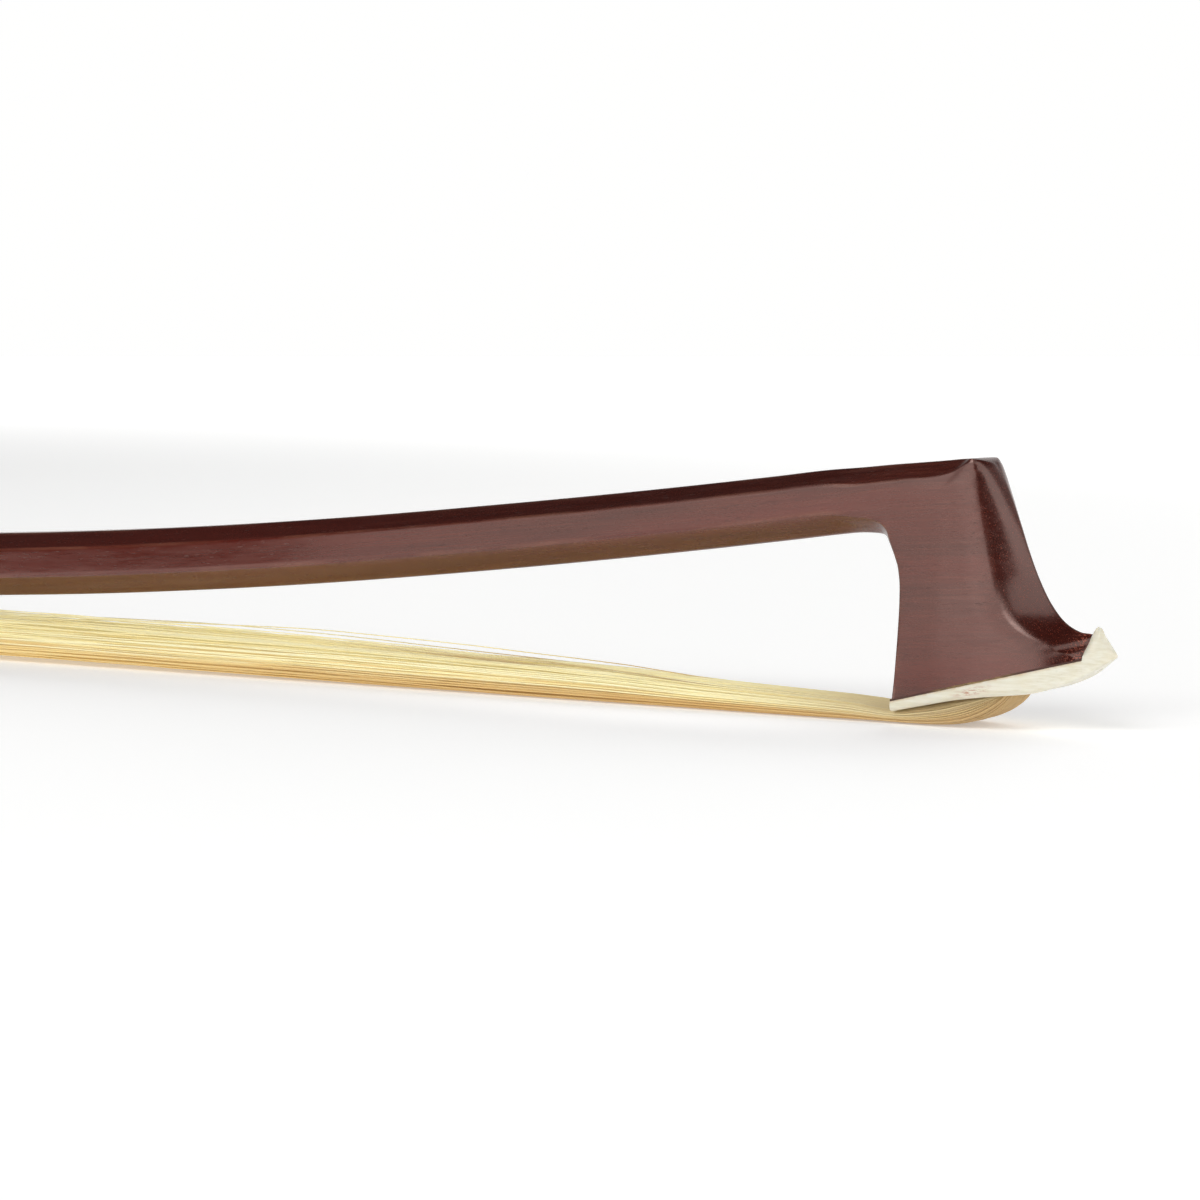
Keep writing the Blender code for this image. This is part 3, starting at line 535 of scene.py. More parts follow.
def pearl_material(name="mother_of_pearl"):
    m = Mat(name, roughness=.16, Coat_Weight=.5, Coat_Roughness=.06, IOR=1.6)
    g = m.obj_mm()
    warp = m.noise(g, .28, 4, .6, .8)
    layer = m.noise(m.node("ShaderNodeVectorMath", {0: m.scale(g, (.5, .9, .9)), 1: warp},
                           operation="ADD").outputs[0], 1.1, 4, .6, 2.4)
    c = m.ramp(layer, ((.25, lin(206, 214, 206)), (.38, lin(244, 240, 236)), (.48, lin(226, 206, 214)),
                       (.56, lin(214, 232, 222)), (.66, lin(246, 246, 240)), (.80, lin(190, 206, 222))))
    facing = m.node("ShaderNodeLayerWeight", {"Blend": .35}).outputs["Facing"]
    tint = m.ramp(m.math("FRACT", m.math("ADD", m.math("MULTIPLY", facing, 1.4),
                                         m.math("MULTIPLY", layer, 1.6))),
                  ((.0, lin(236, 214, 226)), (.33, lin(212, 236, 224)), (.66, lin(222, 224, 244)),
                   (1.0, lin(240, 232, 214))))
    c = m.mix(.35, c, tint, "MULTIPLY")
    return m.to(Base_Color=c, Roughness=m.rng(layer, .3, .7, .10, .26),
                Normal=m.bump(layer, .12, .03))


def wood_material(name, dark, light, stretch=(.12, 1.6, 1.6), rough=.6):
    m = Mat(name, roughness=rough)
    g = m.obj_mm()
    s = m.noise(g, 1, 5, .6, .2, stretch=stretch)
    f = m.noise(g, 1, 3, .6, stretch=(.8, 12, 12))
    c = m.mix(m.math("MULTIPLY", f, .35), m.ramp(s, ((.3, dark), (.7, light))), dark)
    return m.to(Base_Color=c, Normal=m.bump(m.math("ADD", s, f), .3, .03),
                Roughness=m.rng(f, .3, .7, rough - .08, rough + .12))


def thread_material():
    m = Mat("binding_thread", roughness=.8)
    g = m.obj_mm()
    w = m.node("ShaderNodeTexWave", {"Vector": g, "Scale": 1.6, "Distortion": .8, "Detail": 2.0},
               wave_type="BANDS", bands_direction="X").outputs["Fac"]
    c = m.ramp(w, ((.2, lin(132, 112, 84)), (.6, lin(206, 190, 158)), (.9, lin(232, 220, 194))))
    return m.to(Base_Color=c, Normal=m.bump(w, .7, .08))


def knot_material():
    m = Mat("hair_knot_burnt", roughness=.6)
    g = m.obj_mm()
    s = m.noise(g, 1, 4, .6, stretch=(.4, 6, 6))
    c = m.ramp(s, ((.3, lin(46, 30, 14)), (.55, lin(120, 88, 44)), (.8, lin(176, 142, 84))))
    return m.to(Base_Color=c, Normal=m.bump(s, .5, .06))


def leather_material():
    m = Mat("thumb_leather_grain", roughness=.55, Coat_Weight=.06, Coat_Roughness=.35)
    g = m.obj_mm()
    cell = m.voronoi(g, 1.45, feature="DISTANCE_TO_EDGE")
    small = m.voronoi(g, 3.2, feature="DISTANCE_TO_EDGE")
    crease = m.rng(cell, .0, .16, 0, 1, smooth=True)
    fine = m.rng(small, .0, .2, 0, 1, smooth=True)
    n = m.noise(g, .5, 4, .6)
    wear = m.attr("edge", False)
    c = m.ramp(n, ((.3, (.016, .010, .008)), (.6, (.034, .022, .016)), (.8, (.055, .036, .026))))
    c = m.mix(m.math("SUBTRACT", 1.0, crease), c, (.008, .005, .004))
    c = m.mix(m.math("MULTIPLY", wear, m.rng(m.noise(g, 1.3, 3), .4, .65, 0, .6)), c,
              (.13, .085, .055))
    h = m.math("ADD", m.math("MULTIPLY", crease, 1.0), m.math("MULTIPLY", fine, .35))
    return m.to(Base_Color=c, Roughness=m.rng(crease, 0, 1, .72, .46),
                Normal=m.bump(h, .6, .09))


def floor_material():
    m = Mat("studio_floor", roughness=.8)
    g = m.node("ShaderNodeTexCoord").outputs["Object"]
    n = m.noise(g, 3.0, 3, .5)
    c = m.ramp(n, ((.3, (.845, .845, .842)), (.7, (.865, .865, .862))))
    m.b.inputs["Specular IOR Level"].default_value = .08
    m.b.inputs["Emission Color"].default_value = (1, 1, .995, 1)
    # the table is lit from below, more so away from the softboxes
    r = m.node("ShaderNodeVectorMath", {0: g}, operation="LENGTH").outputs["Value"]
    glow = m.rng(r, .45, 2.1, FLOOR_GLOW, FLOOR_GLOW_FAR, smooth=True)
    return m.to(Base_Color=c, Emission_Strength=glow)


FLOOR_GLOW, FLOOR_GLOW_FAR = .28, .98

M_WOOD = pernambuco_material()
M_PLATE = plate_material()
M_VENEER = veneer_material()
M_HAIR = hair_material()
M_HAIR_CORE = packed_hair_material()
M_EBONY = ebony_material()
M_SILVER = silver_material()
M_WIRE = silver_material("silver_wire", brushed=(6, 6, 6))
M_PEARL = pearl_material()
M_BRASS = silver_material("brass_nut", warm=.9)
M_STEEL = wood_material("steel_screw", (.30, .30, .31), (.58, .58, .59), (8, .6, .6), .3)
M_STEEL.node_tree.nodes["Principled BSDF"].inputs["Metallic"].default_value = 1.0
M_WILLOW = wood_material("willow_plug", lin(170, 138, 96), lin(224, 198, 152))
M_THREAD = thread_material()
M_KNOT = knot_material()
M_LEATHER = leather_material()

# =====================================================================
# stick and head, carved from one piece of wood
# =====================================================================
# back (s, z), front (s, z), end of the back bevel, half-width of the back, start of the
# front chamfer, half-width of the ridge, then how the edges roll: bevel edge, cheek towards
# the chamfer, chamfer edge, ridge, and the crown of the chamfer
HEAD = (
    (4.5, 20.05, 4.0, 27.12, .265, 1.20, .738, 2.00, .28, 0, .25, .25, 0),
    (2.2, 20.05, 0.8, 27.45, .215, 1.55, .755, 1.95, .28, 0, .25, .25, 0),
    (1.05, 19.85, -2.5, 27.74, .125, 2.25, .780, 1.80, .26, .05, .26, .25, 0),
    (0.28, 19.25, -5.5, 28.00, .042, 3.05, .803, 1.85, .16, .10, .24, .22, 0),
    (-0.40, 18.10, -8.2, 28.26, .021, 3.38, .864, 2.20, .13, .25, .22, .18, 0),
    (-0.72, 17.30, -9.50, 28.26, .018, 3.43, .972, 2.95, .13, .60, .16, .12, 0),
    (-0.95, 16.60, -10.50, 27.86, .017, 3.46, .950, .42, .13, .90, .55, .30, .26),
    (-1.18, 15.10, -11.25, 26.82, .016, 3.52, .912, .16, .13, 1.0, .62, .25, .38),
    (-1.25, 13.60, -12.3, 24.72, .016, 3.62, .862, .12, .13, 1.0, .60, .22, .42),
    (-1.25, 11.80, -13.5, 21.60, .016, 3.74, .827, .12, .13, 1.0, .52, .22, .38),
    (-1.21, 9.90, -14.6, 18.50, .015, 3.90, .811, .12, .13, 1.0, .45, .22, .33),
    (-1.17, 8.00, -15.8, 15.60, .015, 4.10, .803, .13, .13, 1.0, .58, .22, .28),
    (-1.14, 6.30, -17.2, 13.05, .014, 4.32, .830, .14, .13, .75, .85, .22, .20),
    (-1.12, 4.90, -18.75, 11.28, .013, 4.52, .868, .15, .13, .45, .90, .22, .10),
    (-1.10, 3.70, -20.4, 10.40, .012, 4.74, .872, .16, .12, .25, .60, .20, .04),
    (-1.08, 3.25, -22.0, 10.12, .012, 4.82, .836, .16, .12, .12, .30, .16, .02),
    (-1.07, 2.95, -21.80, 9.34, .012, 4.88, .876, .80, .12, .08, .25, .16, .01),
    (-1.06, 2.78, -21.64, 8.66, .012, 4.92, .935, 1.45, .10, 0, .20, .14, 0),
    (-1.05, 2.62, -21.55, 7.82, .012, 4.95, .975, 2.10, .10, 0, .20, .12, 0),
)
FACE = ((-30, 2.2), (-21.6, 2.20), (-21.2, 2.45), (-19.5, 3.46), (-17.0, 4.50), (-14.0, 5.16),
        (-11.0, 5.38), (-8.0, 5.40), (-4.0, 5.30), (-0.95, 5.10), (0, 5.06), (8, 5.0))
FACE = [(r[0], r[1]) for r in spline([(s, w, 0.0, 0.0) for s, w in FACE], 10)]


def cheek(s, z):
    """Half the head's thickness at a point of its side."""
    base = table(TAPER, s) / 2 + .02
    k = min(1.0, max(0.0, -s / 6.0))
    base += .27 * k * (1 - math.exp(-max(0.0, 27.5 - z) / 5))
    h = max(0.0, z - seam_z(s))
    q = max(0.0, 1 - h / 20) ** 2.6 * min(1.0, max(0.0, (6 - s) / 6))
    fade = 1 - min(1.0, max(0.0, (h - 2.5) / 6.5)) ** 1.3
    wide = 5.40
    return base + (wide - 3.80) * q * (table(FACE, min(s, -6.0)) / wide if s > -6 else 1.0) \
        - (wide - min(wide, table(FACE, s))) * fade * (1.0 if s < -6 else q)


def stick_params(s):
    low, high, w = stick_line(s)
    k = min(1.0, max(0.0, (s - 20) / 230))
    under, over = .34 + (.293 - .34) * k, .22 + (.293 - .22) * k
    half = w / 2
    return (low.x, low.y, high.x, high.y, under, half - under * w, 1 - over,
            half - over * w, .30, 0, .30, .30, 0)


def run(a, b, count, first=True):
    pts = [a.lerp(b, i / count) for i in range(count + 1)]
    return pts if first else pts[1:]


def rolled(before, corner, after, ra, rb, count):
    """A corner rounded by a curve that leaves the edges ra before and rb after it."""
    d0, d1 = before - corner, after - corner
    a = corner + d0.normalized() * min(ra, d0.length * .46)
    b = corner + d1.normalized() * min(rb, d1.length * .46)
    out = []
    for i in range(count + 1):
        t = i / count
        out.append(a * (1 - t) ** 2 + corner * 2 * t * (1 - t) + b * t * t)
    return out


ROLL = 3.3                       # how far the cheek starts to roll before the chamfer


def head_section(row):
    """Half a section as (g, y, edge): g along its middle line from back to front."""
    bs, bz, fs, fz, f1, y0, f4, y6, r1, roll, rc, r6, crown = row
    length = math.hypot(fs - bs, fz - bz)
    ds, dz = (fs - bs) / length, (fz - bz) / length
    f4, y6 = min(f4, .985), max(y6, .06)
    g2, g3 = f1 * length, f4 * length

    def side(g):
        t = max(0.0, ROLL - (g3 - g))
        return cheek(bs + ds * g, bz + dz * g) - .057 * roll * t * t

    p0, p1, p2 = Vector((0, 0)), Vector((0, y0)), Vector((g2, side(g2)))
    p3, p4, p5 = Vector((g3, side(g3))), Vector((length, y6)), Vector((length, 0))
    c1 = rolled(p0, p1, p2, r1, r1, 3)
    after2 = Vector((g2 + .8, side(g2 + .8)))
    c2 = rolled(p1, p2, after2, r1, r1, 4)
    # the chamfer swells a little between its two edges
    across = Vector((-(p4 - p3).y, (p4 - p3).x)).normalized()
    span = max(.01, (p4 - p3).length)

    def chamfer(t):
        return p3.lerp(p4, t) + across * crown * 4 * t * (1 - t)

    def corner(a, b, c, count):
        return [a * (1 - i / count) ** 2 + b * 2 * i / count * (1 - i / count)
                + c * (i / count) ** 2 for i in range(count + 1)]

    ta, tb = min(.4, rc / span), 1 - min(.35, r6 / span)
    r3 = min(rc, .45) + max(0.0, rc - .62)
    c3 = corner(Vector((g3 - r3, side(g3 - r3))), p3, chamfer(ta), 8)
    c4 = corner(chamfer(tb), p4, p4 + Vector((0, -1)) * min(r6, y6 * .46), 4)
    pts = run(p0, c1[0], 2)[:-1] + c1 + run(c1[-1], c2[0], 3)[1:-1] + c2
    tags = [0] * 2 + [.3, .9, .9, .3] + [0] * 2 + [.3, .8, 1, .8, .3]
    a, b = c2[-1].x, c3[0].x
    for i in range(1, 22):
        g = a + (b - a) * (1 - (1 - i / 22) ** 1.5)
        pts.append(Vector((g, side(g))))
        tags.append(0)
    pts += c3
    tags += [.25 * math.sin(math.pi * i / 8) + .75 * (roll < .1) * math.sin(math.pi * i / 8)
             for i in range(9)]
    pts += [chamfer(ta + (tb - ta) * i / 9) for i in range(1, 9)] + c4
    tags += [0] * 8 + [.3, .8, 1, .8, .3]
    pts += run(c4[-1], p5, 2)[1:]
    tags += [0] * 2
    out = [(p.x, max(p.y, 0.0), tag) for p, tag in zip(pts, tags)]
    return out, length


def head_ring(row):
    half, length = head_section(row)
    back, front = Vector(row[0:2]), Vector(row[2:4])
    d = (front - back) / length
    ring, tags = [], []
    for g, y, tag in half:
        p = back + d * g
        ring.append(at(p.x, p.y, y))
        tags.append(tag)
    for g, y, tag in reversed(half[1:-1]):
        p = back + d * g
        ring.append(at(p.x, p.y, -y))
        tags.append(tag)
    return ring, tags


def build_stick():
    rows = [stick_params(s) for s in (21, 14, 8)] + [tuple(r) for r in HEAD]
    fine = spline(rows, 9)[9:]                  # from s = 14 to the face plate
    fine = fine[::-1]
    stations = list(np.concatenate([np.arange(16, 60, 4), np.arange(60, 200, 5),
                                    np.arange(200, 666, 8), [STICK_END - .35]]))
    rings, edge = [], []
    for row in fine:
        ring, tags = head_ring(row)
        rings.append(ring)
        edge.append(tags)
    for s in stations:
        ring, tags = head_ring(stick_params(s))
        rings.append(ring)
        edge.append(tags)
    count = len(rings[0])

    def end_ring(s, scale=None, radius=None):
        low, high, w = stick_line(STICK_END)
        mid = (low + high) / 2
        up = (high - mid).normalized()
        along = Vector((up.y, -up.x))
        centre = mid + along * (s - STICK_END)
        if radius is None:
            base = head_ring(stick_params(STICK_END))[0]
            c = at(mid.x, mid.y)
            shift = at(centre.x, centre.y) - c
            return [c + (p - c) * scale + shift for p in base]
        ring = []
        base = head_ring(stick_params(STICK_END))[0]
        c = at(mid.x, mid.y)
        for p in base:
            v = p - c
            v3 = Vector((v.y, v.dot(Vector((-up.x, 0, up.y)))))
            v3 = v3.normalized() * radius
            q = centre + up * v3.y
            ring.append(at(q.x, q.y, v3.x))
        return ring

    for ring in (end_ring(STICK_END, scale=.95), end_ring(STICK_END, radius=3.4),
                 end_ring(STICK_END + 1.9, radius=3.4), end_ring(STICK_END + 2.2, radius=3.15)):
        rings.append(ring)
        edge.append([0.0] * count)
    obj = loft("stick_and_head", rings, M_WOOD)
    point_attribute(obj, "edge", np.array(edge).ravel())
    return obj


def block(name, levels):
    """A four-cornered block in the face plate's frame."""
    t = math.atan(SEAM_RISE)
    rings = []
    for n, back, front, wb, wf in levels:
        ring = []
        for p, y in ((back, wb), (front, wf), (front, -wf), (back, -wb)):
            s, z = from_face(p, n)
            ring.append(at(s, z, y))
        rings.append(ring)
    return loft(name, rings, None, smooth=False)


def handle_bar(name, radius, a0, a1, sides=32, mat=None):
    rings = [[hp(a, radius * math.cos(2 * math.pi * i / sides),
                 radius * math.sin(2 * math.pi * i / sides)) for i in range(sides)]
             for a in (a0, a1)]
    return loft(name, rings, mat, smooth=False)


def handle_prism(name, outline, half, mat=None):
    """An outline in a and b carried across the bow."""
    rings = [[hp(a, y, b) for a, b in outline] for y in (-half, half)]
    return loft(name, rings, mat, smooth=False)


MORTISE = ((-4.0, 3.4, 14.9, 4.3, 3.6), (0.8, 3.4, 14.9, 4.3, 3.6), (7.0, 4.2, 12.4, 3.4, 2.9))

stick = build_stick()
boolean(stick, "DIFFERENCE", [
    block("c1", MORTISE),
    handle_bar("c2", 1.9, -60, 13.0),
    handle_prism("c3", ((-10.6, -8), (2.6, -8), (2.6, 3.2), (-10.6, 3.2)), 2.9)])
co = coords_mm(stick)
s_of = THROAT_X - co[:, 0]
h_of = np.array([z - axis_height(max(s, -30.0)) * 1.0 if s > 0 else z - (THROAT_Z - .05 * s)
                 for s, z in zip(s_of, co[:, 2])])
point_attribute(stick, "grain", np.stack([co[:, 0], co[:, 1], h_of], 1))
nx = np.zeros(len(co) * 3, np.float32)
stick.data.vertex_normals.foreach_get("vector", nx)
nx = np.abs(nx.reshape(-1, 3)[:, 0])
foot = np.clip((-9.5 - s_of) / 4, 0, 1)
point_attribute(stick, "endgrain", np.clip((nx - .32 + .22 * foot) / .30, 0, 1))
stick.data.shade_smooth()
stick.data.set_sharp_from_angle(angle=math.radians(38))
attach(stick, "stick")
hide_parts("stick")

# =====================================================================
# face plate, with its upturned beak, and the veneer above it
# =====================================================================
PLATE = (
    (-0.95, 1.35, 2.50, 5.12), (-2.5, 1.72, 2.88, 5.24), (-4.0, 2.05, 3.26, 5.32),
    (-8.0, 2.93, 4.26, 5.42), (-11.0, 3.40, 5.01, 5.38), (-14.0, 3.76, 5.76, 5.16),
    (-17.0, 4.15, 6.51, 4.52), (-19.5, 4.98, 7.14, 3.50), (-21.2, 5.72, 7.56, 2.50),
    (-21.56, 5.91, 7.65, 2.25),
)
# place, underside, top, half-width, height of the shoulder, half-width of the top
BEAK = ((-21.57, 5.91, 9.72, 2.22, 8.02, .24), (-21.72, 6.00, 10.02, 2.15, 8.08, .20),
        (-22.0, 6.16, 10.66, 2.02, 8.20, .20), (-22.3, 6.36, 10.97, 1.86, 8.36, .24),
        (-22.6, 6.57, 10.88, 1.68, 8.55, .30), (-23.0, 6.86, 10.30, 1.42, 8.72, .34),
        (-23.5, 7.22, 9.50, 1.06, 8.80, .40), (-24.0, 7.58, 8.80, .68, 8.50, .40),
        (-24.45, 7.92, 8.22, .34, 8.14, .24))


def plate_ring(s, low, high, half, shoulder=None, top=None, round_=.16):
    """A section with rounded lower edges and crisp upper ones; the beak rises to a ridge."""
    shoulder = high - .02 if shoulder is None else min(shoulder, high - .04)
    top = half * .97 if top is None else min(top, half * .97)
    h = shoulder - low
    r = min(round_, h * .2, half * .3)
    inner = half * .93
    corners = [Vector((0, low)), Vector((inner, low)), Vector((half, low + h * .32)),
               Vector((half, shoulder)), Vector((top, high)), Vector((0, high))]
    c1 = rolled(corners[0], corners[1], corners[2], r * 2.2, r * 2.2, 4)
    c2 = rolled(corners[1], corners[2], corners[3], r * 2, r * 2, 4)
    c3 = rolled(corners[2], corners[3], corners[4], r * .5, r * .5, 3)
    c4 = rolled(corners[3], corners[4], corners[5], r * .7, r * .7, 3)
    pts = run(corners[0], c1[0], 4)[:-1] + c1 + run(c1[-1], c2[0], 2)[1:-1] + c2 \
        + run(c2[-1], c3[0], 5)[1:-1] + c3 + run(c3[-1], c4[0], 6)[1:-1] + c4 \
        + run(c4[-1], corners[5], 4)[1:]
    ring = [at(s, p.y, p.x) for p in pts]
    return ring + [at(s, p.y, -p.x) for p in reversed(pts[1:-1])]


def build_plate():
    fine = spline([tuple(r) for r in PLATE], 6)
    beak = spline([tuple(r) for r in BEAK], 6)
    rings = [plate_ring(*r) for r in fine] + [plate_ring(*r, round_=.2) for r in beak]
    obj = loft("face_plate_with_beak", rings, M_PLATE)
    boolean(obj, "DIFFERENCE", [block("c", MORTISE)])
    bm = bmesh.new()
    bm.from_mesh(obj.data)
    # small chips out of the beak's thin upper edge
    for v in bm.verts:
        x, y, z = (c / MM for c in v.co)
        s = THROAT_X - x
        if s < -21.7:
            n = noise.noise(Vector((s * 1.9, y * 1.6, z * 1.9)) + Vector((3.1, 0, 7.7)))
            n2 = noise.noise(Vector((s * 5.2, y * 4.4, z * 5.0)))
            k = min(1.0, max(0.0, (z - 9.6) / 1.2))
            v.co.z += (n * .30 + n2 * .18 - .06) * k * MM
            v.co.x += n2 * .14 * k * MM
    bm.to_mesh(obj.data)
    bm.free()
    p = coords_mm(obj)
    s = THROAT_X - p[:, 0]
    above = p[:, 2] - np.array([seam_z(v) for v in s])
    seam = np.clip(1 - np.abs(above) / .30, 0, 1) * (s > -21.5)
    scuff = np.clip(1 - np.abs(s + 10.6) / 2.6, 0, 1) * np.clip((np.abs(p[:, 1]) - 4.6) / .4, 0, 1) \
        * np.clip(1 - np.abs(p[:, 2] - (seam_z(0) - .25 * s - .80)) / .55, 0, 1) * (p[:, 1] < 0)
    point_attribute(obj, "seam", seam)
    point_attribute(obj, "scuff", scuff)
    obj.data.shade_smooth()
    obj.data.set_sharp_from_angle(angle=math.radians(34))
    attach(obj, "stick")
    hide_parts("head_plate")
    return obj


def build_liner():
    rings = []
    for s, low, high, half in spline([tuple(r) for r in PLATE], 4):
        z = seam_z(s)
        s = max(s, -21.5)
        w = half * .992
        rings.append([at(s, z - .03, -w), at(s, z + .20, -w), at(s, z + .20, w), at(s, z - .03, w)])
    obj = loft("veneer_liner", rings, M_VENEER, smooth=False)
    boolean(obj, "DIFFERENCE", [block("c", MORTISE)])
    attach(obj, "stick")
    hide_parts("head_plate_liner")
    return obj


build_plate()
build_liner()

# =====================================================================
# hair: every strand is its own tube
# =====================================================================
def ribbon_path():
    """The ribbon as rows of: outer side (s, z), inner side (s, z), half-width.  The outer side
    is the one nearer the string, and turns to the outside of each loop."""
    rows = []

    def centre(s, z, thick, half):
        rows.append([s, z, thick, half])

    for p, n, thick, half in ((10.9, 5.2, 1.0, 2.3), (11.9, 4.75, 1.0, 2.5),
                              (12.65, 3.7, 1.0, 2.9), (13.05, 2.2, 1.05, 3.1)):
        centre(*from_face(p, n), thick, half)
    # it fans out as it leaves the mortise and folds back under the face plate
    loop = []
    for (o, i, half) in ((from_face(13.6, .6), from_face(12.5, .6), 3.2),
                         (from_face(13.35, -1.0), from_face(11.9, -1.0), 3.25),
                         ((-13.95, 3.72), (-11.6, 3.40), 3.5), ((-13.45, 2.95), (-10.2, 3.20), 3.7),
                         ((-12.6, 2.15), (-9.0, 3.00), 3.85), ((-11.4, 1.35), (-7.6, 2.74), 4.0),
                         ((-9.8, .68), (-6.2, 2.44), 4.1), ((-7.9, .26), (-4.8, 2.12), 4.15),
                         ((-5.6, .07), (-3.3, 1.80), 4.2), ((-3.0, .03), (-1.4, 1.46), 4.2),
                         ((-.4, .02), (.6, 1.50), 4.2), ((4.0, .02), (4.0, 1.94), 4.25)):
        rows.append([*o, *i, half])
        loop.append(len(rows) - 1)
    span = ((10, 0.01, 2.25), (23, 0.02, 2.75), (36, .04, 3.45), (50, .06, 3.80),
            (64, .12, 4.15), (78, .22, 4.50), (94, .35, 4.75), (110, .45, 5.05),
            (126, .55, 5.25), (145, .60, 5.15), (170, .60, 4.75), (200, .60, 4.35),
            (260, .50, 3.90), (320, .40, 3.70), (400, .30, 3.40), (480, .30, 3.05),
            (550, .40, 2.65), (590, .58, 2.35))
    for s, low, high in span:
        centre(s, (low + high) / 2, high - low, 4.25 + (5.6 - 4.25) * s / 615)
    for a, low, high, half in ((26.5, -20.52, -19.22, 5.6), (24.0, -20.46, -19.18, 5.6),
                               (20.0, -20.22, -18.98, 5.5), (16.0, -19.80, -18.58, 5.2),
                               (13.0, -19.32, -18.12, 4.8), (10.6, -18.98, -17.78, 4.6),
                               (8.0, -18.90, -17.70, 4.55), (-9.0, -18.90, -17.70, 4.4)):
        p = hp(a, 0, (low + high) / 2)
        centre(THROAT_X - p.x, p.z, high - low, half)
    for a, b, thick, half in ((-11.6, -18.15, 1.15, 4.1), (-13.3, -17.45, 1.1, 4.0),
                              (-14.2, -16.2, 1.1, 3.9), (-14.25, -14.7, 1.1, 3.5),
                              (-13.6, -13.3, 1.0, 3.0), (-12.5, -12.45, 1.0, 2.6),
                              (-11.4, -12.3, 1.0, 2.4)):
        p = hp(a, 0, b)
        centre(THROAT_X - p.x, p.z, thick, half)
    mid = np.array([r[:2] if len(r) == 4 else [(r[0] + r[2]) / 2, (r[1] + r[3]) / 2]
                    for r in rows])
    tan = np.gradient(mid, axis=0)
    tan /= np.linalg.norm(tan, axis=1)[:, None]
    out = []
    for r, (ts, tz) in zip(rows, tan):
        if len(r) == 5:
            out.append(r)
        else:
            h = r[2] / 2
            out.append([r[0] + tz * h, r[1] - ts * h, r[0] - tz * h, r[1] + ts * h, r[3]])
    return np.array(out)


def dense_path():
    """Rows every short step, more where the path curls, with their place along it."""
    rows = ribbon_path()
    mid = (rows[:, 0:2] + rows[:, 2:4]) / 2
    d = np.sqrt(((mid[1:] - mid[:-1]) ** 2).sum(1))
    t = np.concatenate([[0], np.cumsum(d)])
    m = np.zeros_like(rows)
    n = len(t)
    for i in range(n):
        if i == 0:
            m[i] = (rows[1] - rows[0]) / d[0]
        elif i == n - 1:
            m[i] = (rows[-1] - rows[-2]) / d[-1]
        else:
            s0, s1 = (rows[i] - rows[i - 1]) / d[i - 1], (rows[i + 1] - rows[i]) / d[i]
            m[i] = (s0 * d[i] + s1 * d[i - 1]) / (d[i] + d[i - 1])
    out, where = [], []
    for i in range(n - 1):
        per = max(2, int(math.ceil(d[i] / (.9 if d[i] < 4.2 else 8.0))))
        for k in range(per):
            u = k / per
            out.append((2 * u ** 3 - 3 * u ** 2 + 1) * rows[i] + (u ** 3 - 2 * u ** 2 + u) * d[i] * m[i]
                       + (-2 * u ** 3 + 3 * u ** 2) * rows[i + 1] + (u ** 3 - u ** 2) * d[i] * m[i + 1])
            where.append(t[i] + u * d[i])
    out.append(rows[-1])
    where.append(t[-1])
    return np.array(out), np.array(where)


def tubes(name, lines, radius, mat, values, sides=5):
    """Thin tubes along lines (each an array of points), joined into one mesh."""
    verts, faces, strand = [], [], []
    base = 0
    ang = 2 * math.pi * np.arange(sides) / sides
    for pts, rad, val in zip(lines, radius, values):
        tan = np.gradient(pts, axis=0)
        tan /= np.linalg.norm(tan, axis=1)[:, None] + 1e-12
        side = np.tile(np.array([0.0, 1.0, 0.0]), (len(pts), 1))
        side -= (side * tan).sum(1)[:, None] * tan
        side /= np.linalg.norm(side, axis=1)[:, None]
        up = np.cross(tan, side)
        r = np.broadcast_to(rad, (len(pts),))[:, None, None]
        ring = pts[:, None, :] + r * (side[:, None, :] * np.cos(ang)[None, :, None]
                                      + up[:, None, :] * np.sin(ang)[None, :, None])
        n = len(pts)
        verts.append(ring.reshape(-1, 3))
        i = np.arange(n - 1)[:, None] * sides
        j = np.arange(sides)[None, :]
        k = (j + 1) % sides
        quad = np.stack([i + j, i + k, i + sides + k, i + sides + j], -1).reshape(-1, 4) + base
        faces.append(quad)
        lengths = np.concatenate([[0], np.cumsum(np.linalg.norm(np.diff(pts, axis=0), axis=1))])
        v = np.zeros((n, sides, 3))
        v[..., 0] = val[0]
        v[..., 1] = (lengths / 100.0)[:, None]
        v[..., 2] = val[1]
        strand.append(v.reshape(-1, 3))
        base += n * sides
    verts = np.concatenate(verts)
    faces = np.concatenate(faces)
    starts, run_, caps = 0, [], []
    for pts in lines:
        caps.append(tuple(range(starts + sides - 1, starts - 1, -1)))
        starts += len(pts) * sides
        caps.append(tuple(range(starts - sides, starts)))
    mesh = bpy.data.meshes.new(name)
    nq = len(faces)
    loops = np.concatenate([faces.ravel(), np.array(caps, int).ravel()])
    mesh.vertices.add(len(verts))
    mesh.vertices.foreach_set("co", (verts * MM).astype(np.float32).ravel())
    mesh.loops.add(len(loops))
    mesh.loops.foreach_set("vertex_index", loops.astype(np.int32))
    total = np.concatenate([np.full(nq, 4), np.full(len(caps), sides)])
    mesh.polygons.add(len(total))
    mesh.polygons.foreach_set("loop_start",
                              np.concatenate([[0], np.cumsum(total)[:-1]]).astype(np.int32))
    mesh.polygons.foreach_set("loop_total", total.astype(np.int32))
    mesh.update(calc_edges=True)
    mesh.validate()
    mesh.shade_smooth()
    mesh.materials.append(mat)
    obj = bpy.data.objects.new(name, mesh)
    bpy.context.scene.collection.objects.link(obj)
    point_attribute(obj, "strand", np.concatenate(strand))
    return obj


def wander(rng, x, waves):
    """A smooth irregular line over x made of a few waves."""
    y = np.zeros_like(x)
    for length, size in waves:
        y += size * np.sin(2 * math.pi * (x / (length * rng.uniform(.75, 1.3)) + rng.uniform()))
    return y


